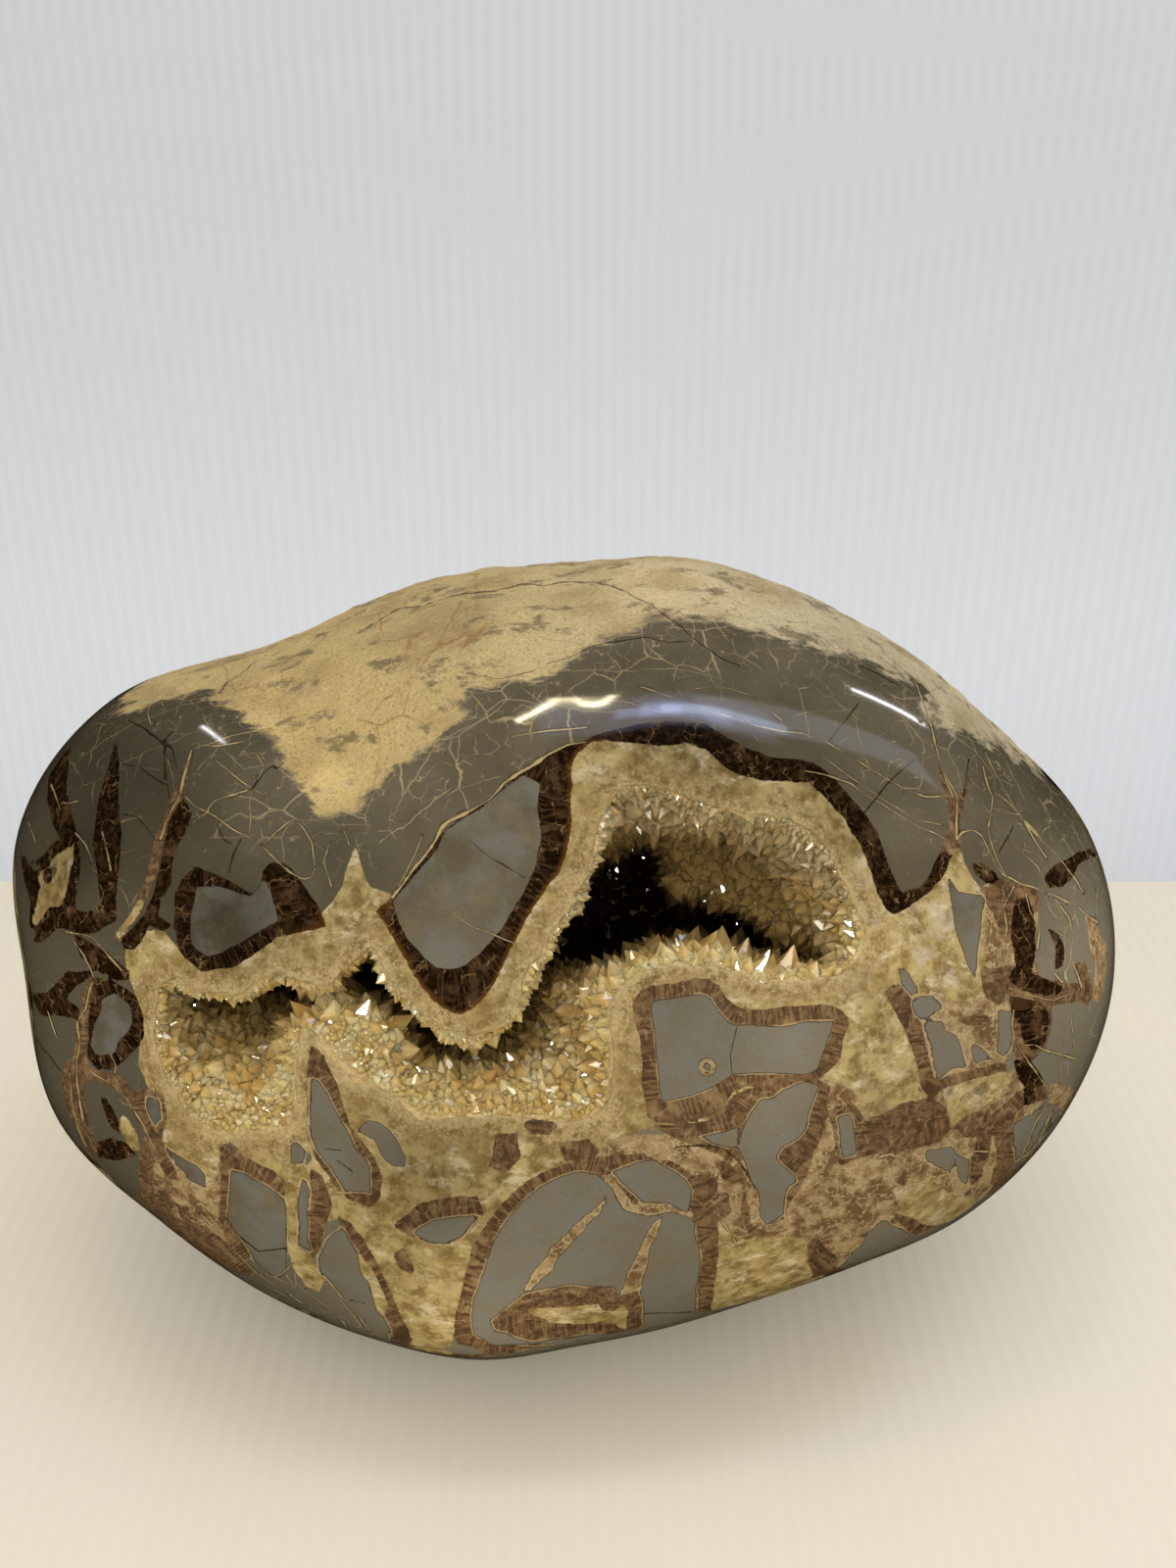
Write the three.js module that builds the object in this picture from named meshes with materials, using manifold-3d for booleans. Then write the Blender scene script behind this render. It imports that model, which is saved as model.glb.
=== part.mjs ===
// A septarian nodule: a rounded limestone concretion with one polished face that leans back,
// and in that face a hollow lined with a crust of calcite crystals. Millimetres, +Z up, the
// polished face looks along -Y. The body is drawn in face axes first: a to the right, b up the
// leaning face, c straight out of it.
import * as THREE from 'three';
import { mergeVertices } from 'three/addons/utils/BufferGeometryUtils.js';
import Module from 'manifold-3d';

const wasm = await Module();
wasm.setup();

// the pillow-shaped stone
const LEAN = THREE.MathUtils.degToRad(20);  // the face leans back this far from upright
const CENTRE_Z = 93.5;                      // height of the stone's middle above the table
const FRONT = 85;                           // middle to the front of the polished face
const BACK = 85;                            // middle to the back
const ROUND = 2.3;                          // 2 is an egg, more is squarer
// outline of the face: distance from the middle every 15 degrees, from the right-hand side up
const OUTLINE = [132, 130, 119, 112, 107, 104, 100, 103, 107, 112, 132, 141,
                 136, 134, 121, 112, 105, 100, 93, 91, 93, 101, 115, 126];
const BODY_DETAIL = 9;
const LIP = 9;                              // stone left between the face and a chamber behind it
const MOUTH_DEPTH = 6;                      // the least depth of the hollow inside its mouth
const GAP = 0.3;                            // between the stone and the crust
const CRUST = 3;                            // calcite under the crystals
const RIM_CRUST = 0.9;                      // the same at the mouth, where it runs out thin

// shallow dents of the outer skin: direction, width in degrees, depth in mm
const DENTS = [
  { at: [-50, 56, 62], width: 15, depth: 6 },
  { at: [-46, 90, 25], width: 17, depth: 6 },
  { at: [-8, 97, 30], width: 8, depth: 2 },
  { at: [12, -88, -32], width: 14, depth: -2.2 },  // a swelling below, part of its flat foot
];

// the rim of the hollow's mouth in the face plane
const MOUTH = [
  [-88, 8], [-85, 10], [-75, 8], [-66, 10], [-61, 13], [-51, 10], [-44, 17], [-40, 18], [-34, 9],
  [-25, 2], [-18, 1], [-11, 10], [-5, 22], [0, 28], [4, 44], [11, 52], [19, 49], [27, 45],
  [40, 44], [48, 41], [56, 30], [59, 20], [53, 13], [36, 13], [31, 19], [16, 19], [6, 17],
  [6, 5], [6, -11], [0, -16], [-20, -15], [-33, -17], [-39, -12], [-47, -10], [-52, -4],
  [-55, 3], [-58, -3], [-58, -15], [-62, -22], [-73, -24], [-83, -20], [-88, -9], [-90, 3],
];
// chambers that run on behind the face: middle and half-sizes
const CHAMBERS = [
  { at: [-70, 0, 52], half: [22, 18, 20] },    // behind the left basin
  { at: [-22, 10, 42], half: [46, 22, 28] },   // behind the hanging tongue
  { at: [18, 18, 45], half: [36, 20, 34] },    // the deep one on the right
];
// bowls that open straight into the mouth
const BOWLS = [
  { at: [-73, -6, 62], half: [21, 21, 25] },   // the left basin
  { at: [-34, 2, 70], half: [26, 19, 26] },    // under the tongue
  { at: [-3, 8, 68], half: [16, 30, 28] },     // the passage right of the tongue
  { at: [33, 32, 76], half: [31, 25, 28] },    // the right-hand mouth
];
// swellings of the wall that stand into the hollow
const SWELLINGS = [
  { at: [-46, -4, 64], half: [12, 14, 18] },   // the hump beside the left basin
  { at: [-14, -17, 68], half: [26, 10, 12] },  // the sill below the tongue
  { at: [27, 44, 50], half: [13, 18, 14] },    // the bulge hanging from the roof
];
// small pits in the polished face
const PITS = [
  { at: [87, 30, 68], half: [2.6, 1.6, 4] },
  { at: [77, 3, 74], half: [2, 2, 3] },
  { at: [-9, -21, 84], half: [2.6, 1.8, 4] },
  { at: [-128, 27, 43], half: [2, 2.6, 4] },
];

// crystals: how many, their size, and how far apart
const CRYSTALS = 88;
const CRYSTAL_RADIUS = [3, 4.8];
const CRYSTAL_LENGTH = [7.5, 11];
const CRYSTAL_SPACING = 5;

const faceAxes = new THREE.Matrix4().makeBasis(
  new THREE.Vector3(1, 0, 0),
  new THREE.Vector3(0, Math.sin(LEAN), Math.cos(LEAN)),
  new THREE.Vector3(0, -Math.cos(LEAN), Math.sin(LEAN)),
).setPosition(0, 0, CENTRE_Z);

// a repeatable run of numbers between 0 and 1
let seed = 7;
const random = () => {
  seed = (seed * 16807) % 2147483647;
  return seed / 2147483647;
};
const between = ([low, high]) => low + (high - low) * random();

function toSolid(geometry) {
  geometry.deleteAttribute('uv');
  geometry.deleteAttribute('normal');
  const joined = mergeVertices(geometry, 1e-4);
  return new wasm.Manifold(new wasm.Mesh({
    numProp: 3,
    vertProperties: new Float32Array(joined.attributes.position.array),
    triVerts: new Uint32Array(joined.index.array),
  }));
}

function toGeometry(solid) {
  const mesh = solid.getMesh();
  const geometry = new THREE.BufferGeometry();
  const points = new Float32Array(mesh.numVert * 3);
  for (let i = 0; i < mesh.numVert; i++) {
    for (let k = 0; k < 3; k++) points[3 * i + k] = mesh.vertProperties[i * mesh.numProp + k];
  }
  geometry.setAttribute('position', new THREE.BufferAttribute(points, 3));
  geometry.setIndex(new THREE.BufferAttribute(new Uint32Array(mesh.triVerts), 1));
  return geometry;
}

// smooth closed outline: radius of the face at an angle
function outlineRadius(angle) {
  const n = OUTLINE.length;
  const turn = ((angle / (2 * Math.PI)) * n + n) % n;
  const i = Math.floor(turn);
  const f = turn - i;
  const [p, q, r, s] = [-1, 0, 1, 2].map((k) => OUTLINE[(i + k + n) % n]);
  return 0.5 * (2 * q + (r - p) * f + (2 * p - 5 * q + 4 * r - s) * f * f
    + (3 * q - p - 3 * r + s) * f * f * f);
}

// distance from the middle of the stone to its skin in a direction
function skinRadius(way) {
  const flat = Math.hypot(way.x, way.y) / outlineRadius(Math.atan2(way.y, way.x));
  const deep = Math.abs(way.z) / (way.z > 0 ? FRONT : BACK);
  let radius = (flat ** ROUND + deep ** ROUND) ** (-1 / ROUND);
  for (const dent of DENTS) {
    const off = THREE.MathUtils.radToDeg(way.angleTo(new THREE.Vector3(...dent.at)));
    radius -= dent.depth * Math.exp(-((off / dent.width) ** 2));
  }
  return radius;
}

// the stone without its hollow, drawn in by an inset
function stone(inset, detail = BODY_DETAIL) {
  const geometry = new THREE.IcosahedronGeometry(1, detail);
  const points = geometry.attributes.position;
  const way = new THREE.Vector3();
  for (let i = 0; i < points.count; i++) {
    way.fromBufferAttribute(points, i).normalize();
    way.multiplyScalar(skinRadius(way) - inset);
    points.setXYZ(i, way.x, way.y, way.z);
  }
  return toSolid(geometry);
}

function egg({ at, half }, inset = 0, detail = 1) {
  const geometry = new THREE.IcosahedronGeometry(1, detail);
  geometry.scale(half[0] - inset, half[1] - inset, half[2] - inset);
  geometry.translate(...at);
  return toSolid(geometry);
}

// the mouth's outline drawn in by an inset and run straight through the face
function mouthPrism(inset) {
  const count = MOUTH.length;
  const points = MOUTH.map(([a, b], i) => {
    const [pa, pb] = MOUTH[(i + count - 1) % count];
    const [na, nb] = MOUTH[(i + 1) % count];
    const along = new THREE.Vector2(na - pa, nb - pb).normalize();
    return new THREE.Vector2(a - along.y * inset, b + along.x * inset);
  });
  // the outline runs clockwise, so its inner side is on the right of the way along it
  const inner = THREE.ShapeUtils.isClockWise(points)
    ? MOUTH.map(([a, b], i) => new THREE.Vector2(2 * a - points[i].x, 2 * b - points[i].y))
    : points;
  const geometry = new THREE.ExtrudeGeometry(new THREE.Shape(inner), {
    depth: 60, bevelEnabled: false,
  });
  geometry.translate(0, 0, 40);
  return toSolid(geometry);
}

const union = (solids) => solids.reduce((sum, solid) => sum.add(solid));
const largest = (solid) => solid.decompose()
  .reduce((best, piece) => (piece.volume() > best.volume() ? piece : best));

// the hollow, with its wall drawn in by an inset, and by another one at the mouth
function hollow(inset, rimInset = inset) {
  const chambers = union(CHAMBERS.map((c) => egg(c, inset)))
    .intersect(stone(LIP + inset, 5));
  const prism = mouthPrism(rimInset);
  const rim = prism.subtract(stone(MOUTH_DEPTH - inset, 5));
  const bowls = union(BOWLS.map((c) => egg(c, inset))).intersect(prism);
  const swellings = union(SWELLINGS.map((c) => egg(c, -inset)));
  return chambers.add(bowls).subtract(swellings).add(rim);
}

// one pointed crystal standing on the crust
function crystal(spot, way) {
  const length = between(CRYSTAL_LENGTH);
  const geometry = new THREE.ConeGeometry(between(CRYSTAL_RADIUS), length, 4);
  geometry.rotateY(random() * Math.PI);
  const tilt = new THREE.Vector3(random() - 0.5, random() - 0.5, random() - 0.5);
  const up = way.clone().addScaledVector(tilt, 0.8).normalize();
  geometry.applyQuaternion(new THREE.Quaternion().setFromUnitVectors(
    new THREE.Vector3(0, 1, 0), up));
  const base = spot.clone().addScaledVector(up, length / 2 - 2.5);
  geometry.translate(base.x, base.y, base.z);
  return toSolid(geometry);
}

// crystals spread over the wall of the hollow, crowded where it can be seen from outside
function crystals(wall) {
  const geometry = toGeometry(wall);
  const points = geometry.attributes.position;
  const index = geometry.index;
  const corners = [new THREE.Vector3(), new THREE.Vector3(), new THREE.Vector3()];
  const faces = [];
  let total = 0;
  for (let i = 0; i < index.count; i += 3) {
    corners.forEach((corner, k) => corner.fromBufferAttribute(points, index.getX(i + k)));
    const face = new THREE.Triangle(...corners.map((corner) => corner.clone()));
    const middle = face.getMidpoint(new THREE.Vector3());
    const seen = middle.z > 45 && face.getNormal(new THREE.Vector3()).z < 0.3;
    total += face.getArea() * (seen ? 1 : 0.12);
    faces.push({ face, upTo: total });
  }
  const placed = [];
  const grown = [];
  for (let tries = 0; tries < 6000 && grown.length < CRYSTALS; tries++) {
    const pick = random() * total;
    const { face } = faces.find(({ upTo }) => upTo >= pick);
    const u = Math.sqrt(random());
    const v = random();
    const spot = new THREE.Vector3().addScaledVector(face.a, 1 - u)
      .addScaledVector(face.b, u * (1 - v)).addScaledVector(face.c, u * v);
    if (placed.some((other) => other.distanceTo(spot) < CRYSTAL_SPACING)) continue;
    placed.push(spot);
    grown.push(crystal(spot, face.getNormal(new THREE.Vector3()).negate()));
  }
  return union(grown);
}

const table = toSolid(new THREE.BoxGeometry(400, 400, 100).translate(0, 0, -50));
const skin = stone(0);
const toBody = (solid) => solid.transform(faceAxes.elements).subtract(table);

const pits = union(PITS.map((pit) => egg(pit)));
const nodule = toBody(skin.subtract(hollow(0)).subtract(pits)).simplify(0.1);

const lining = hollow(GAP);
const wall = hollow(GAP + CRUST, GAP + RIM_CRUST).intersect(stone(-5, 3));
const crust = lining.subtract(wall).add(crystals(wall).intersect(lining))
  .intersect(stone(0.6, 5));
const crystalCrust = toBody(largest(crust)).simplify(0.15);

// bring the middle of the footprint to the origin
const box = nodule.boundingBox();
const shift = [-(box.min[0] + box.max[0]) / 2, -(box.min[1] + box.max[1]) / 2, 0];

const group = new THREE.Group();
group.name = 'septarian_nodule';
function addMesh(name, solid, colour, roughness) {
  const material = new THREE.MeshStandardMaterial({ color: colour, roughness });
  material.name = name;
  const mesh = new THREE.Mesh(toGeometry(solid.translate(shift)), material);
  mesh.name = name;
  group.add(mesh);
}
addMesh('nodule', nodule, 0x75695a, 0.35);
addMesh('crystal_crust', crystalCrust, 0xcfa65e, 0.3);
export default group;
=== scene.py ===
# A septarian nodule: a polished limestone concretion with a hollow full of calcite crystals.
# The stone and its crust are rebuilt finely over the CAD solids and painted with node materials.
# Lengths are millimetres in the face axes (a right, b up the leaning face, c out of it) or, after
# to_body, in the row's own axes. "Photo" coordinates are pixels of a 1200 x 1600 frame seen by
# the scene's camera; the markings of the polished face are drawn in them.
import math

import bmesh
import bpy
import numpy as np
from mathutils import Matrix, Vector


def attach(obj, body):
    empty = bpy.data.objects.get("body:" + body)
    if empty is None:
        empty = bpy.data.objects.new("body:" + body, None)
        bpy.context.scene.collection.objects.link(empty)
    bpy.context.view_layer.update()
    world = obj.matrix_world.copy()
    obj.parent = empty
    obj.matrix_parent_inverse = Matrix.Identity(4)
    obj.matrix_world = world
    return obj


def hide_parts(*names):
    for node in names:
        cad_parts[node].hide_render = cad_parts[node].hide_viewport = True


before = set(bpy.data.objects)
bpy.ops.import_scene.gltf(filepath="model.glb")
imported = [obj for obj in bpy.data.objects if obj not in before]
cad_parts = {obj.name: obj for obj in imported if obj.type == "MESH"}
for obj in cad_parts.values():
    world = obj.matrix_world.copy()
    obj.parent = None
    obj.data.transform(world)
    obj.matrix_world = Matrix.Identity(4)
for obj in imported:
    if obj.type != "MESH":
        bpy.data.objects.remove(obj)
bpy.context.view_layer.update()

# ---------------------------------------------------------------- the stone, as in the CAD part
LEAN = math.radians(20)         # of the polished face, backwards
CENTRE = np.array([2.85, -0.361, 93.5])
FRONT = BACK = 85.0             # from the middle to the skin along the c axis
ROUND = 2.3                     # power of the rounding: 2 is an ellipsoid, more is boxier
# outline of the face: distances every 15 degrees, counter-clockwise from the right
OUTLINE = np.array([132, 130, 119, 112, 107, 104, 100, 103, 107, 112, 132, 141,
                    136, 134, 121, 112, 105, 100, 93, 91, 93, 101, 115, 126], float)
# dents, or swellings where the depth is negative: way, width in degrees and depth
DENTS = [((-50, 56, 62), 15, 6), ((-46, 90, 25), 17, 6), ((-8, 97, 30), 8, 2),
         ((12, -88, -32), 14, -2.2)]
INSET = 0.5                     # the fine stone stays this far inside the CAD box

# ---------------------------------------------------------------- the camera of the photograph
CAMERA = np.array([5.35, -360.96, 317.8])
PITCH = math.radians(26)
PHOTO = (1200, 1600)            # width and height in pixels
FOCAL = 1700.0                  # in pixels
MIDDLE = np.array(PHOTO) / 2
AHEAD = np.array([0, math.cos(PITCH), -math.sin(PITCH)])
UP = np.array([0, math.sin(PITCH), math.cos(PITCH)])
RIGHT = np.array([1.0, 0, 0])

# the hollow's mouth, where the polished calcite ends and the crystals begin
MOUTH = [
    (178, 997), (200, 1008), (222, 1011), (242, 1014), (262, 1004), (285, 991), (305, 1000),
    (333, 1008), (350, 994), (366, 978), (380, 966), (388, 980), (400, 1003), (415, 1018),
    (433, 1038), (460, 1053), (482, 1059), (505, 1050), (518, 1033), (530, 1015), (540, 990),
    (560, 955), (585, 920), (600, 890), (603, 870), (610, 840), (620, 813), (640, 800),
    (680, 806), (720, 820), (760, 830), (800, 832), (825, 846), (848, 875), (865, 905),
    (878, 930), (884, 955), (876, 978), (855, 996), (828, 1000), (800, 1004), (775, 1002),
    (755, 992), (735, 986), (700, 984), (672, 986), (652, 993), (640, 1003), (632, 1020),
    (628, 1040), (626, 1055), (628, 1085), (624, 1100), (628, 1120), (615, 1140), (590, 1146),
    (565, 1148), (540, 1143), (510, 1140), (485, 1142), (455, 1148), (425, 1146), (410, 1134),
    (395, 1120), (375, 1112), (355, 1110), (340, 1097), (330, 1080), (322, 1062), (316, 1052),
    (308, 1056), (303, 1075), (302, 1100), (303, 1125), (305, 1148), (285, 1160), (260, 1161),
    (235, 1162), (210, 1155), (190, 1141), (176, 1118), (166, 1097), (160, 1075), (156, 1050),
    (157, 1025), (162, 1007),
]

# how deep the hollow's wall lies below the skin, in mm, along lines of sight through pixels
FLOOR = [
    # left basin, a slope that runs back and up under the overhang
    ((178, 1120), 0.5), ((215, 1156), 0.5), ((260, 1161), 0.5), ((302, 1148), 0.5),
    ((162, 1075), 1), ((158, 1040), 3), ((170, 1005), 8), ((303, 1100), 0.5), ((310, 1056), 1),
    ((200, 1128), 4), ((250, 1134), 4), ((288, 1120), 5), ((185, 1090), 8), ((245, 1096), 10),
    ((288, 1085), 12), ((182, 1055), 11), ((240, 1064), 16), ((290, 1054), 22), ((186, 1020), 18),
    ((240, 1036), 25), ((285, 1024), 33), ((205, 1012), 28), ((242, 1018), 33),
    ((285, 998), 38), ((322, 1014), 42),
    # the black passage behind the boss, under the tongue's left side
    ((350, 1004), 46), ((375, 990), 46), ((392, 1012), 50), ((416, 1042), 46), ((316, 1024), 40),
    ((350, 1010), 44), ((380, 1014), 46),
    # the boss with its toothed top
    ((322, 1064), 1), ((327, 1046), 6), ((342, 1031), 9), ((366, 1031), 9), ((388, 1040), 10),
    ((404, 1062), 10), ((345, 1062), 4), ((370, 1078), 4), ((392, 1100), 3), ((357, 1108), 0.5),
    ((395, 1120), 0.5),
    # the floor of the middle
    ((425, 1146), 0.5), ((485, 1142), 0.5), ((540, 1143), 0.5), ((590, 1146), 0.5),
    ((425, 1122), 4), ((470, 1124), 5), ((520, 1120), 6), ((575, 1122), 6), ((610, 1122), 4),
    ((420, 1095), 11), ((450, 1098), 12), ((490, 1100), 12), ((530, 1096), 13), ((570, 1088), 13),
    ((605, 1085), 10), ((628, 1085), 0.5), ((626, 1050), 0.5),
    ((425, 1068), 30), ((455, 1078), 26), ((485, 1082), 26), ((510, 1072), 28), ((530, 1040), 32),
    ((546, 1010), 30), ((548, 1060), 18), ((572, 1035), 17), ((600, 1050), 11), ((572, 1008), 19),
    ((602, 1010), 14), ((622, 1012), 6),
    # the black cavern
    ((548, 990), 46), ((575, 972), 56), ((605, 982), 60), ((600, 930), 56), ((625, 890), 54),
    ((640, 930), 62), ((655, 862), 46), ((666, 900), 58), ((668, 945), 62), ((612, 884), 44),
    ((640, 976), 60), ((680, 958), 60), ((720, 954), 58), ((757, 970), 54), ((800, 984), 48),
    ((838, 986), 38), ((705, 935), 58), ((755, 940), 54), ((785, 970), 52), ((520, 1024), 38),
    ((500, 1056), 34), ((455, 1060), 34),
    # its toothed sill
    ((650, 994), 2), ((655, 987), 6), ((700, 979), 6), ((735, 981), 6), ((760, 992), 5),
    ((800, 998), 4), ((845, 997), 3), ((632, 1002), 3),
    # the lobe that hangs from the roof on the right
    ((620, 815), 6), ((640, 802), 3), ((680, 808), 3), ((720, 822), 3), ((760, 832), 3),
    ((800, 834), 2), ((848, 877), 2), ((880, 935), 2), ((884, 958), 1), ((612, 850), 16),
    ((640, 828), 16), ((670, 838), 20), ((700, 850), 22), ((740, 850), 20), ((780, 855), 16),
    ((820, 880), 12), ((850, 920), 10), ((866, 950), 8), ((695, 880), 29), ((730, 885), 26),
    ((695, 905), 32), ((740, 910), 29), ((775, 895), 22), ((775, 928), 28), ((800, 948), 27),
    ((830, 940), 20), ((835, 964), 22), ((860, 975), 12),
]

# the unpolished rind's outline: its lower edge, then round above the stone
RIND = [
    (86, 712), (101, 720), (158, 714), (210, 706), (221, 714), (253, 726), (277, 750), (293, 785),
    (312, 812), (325, 826), (340, 830), (352, 824), (380, 800), (405, 778), (440, 760),
    (460, 743), (475, 722), (480, 705), (510, 697), (554, 686), (593, 667), (620, 651),
    (655, 637), (696, 627), (745, 632), (791, 643), (830, 654), (860, 667), (900, 684),
    (936, 700), (948, 730), (995, 753), (1054, 777),
    (1094, 817), (1114, 848), (1160, 880), (1300, 400), (-100, 400),
]


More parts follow.
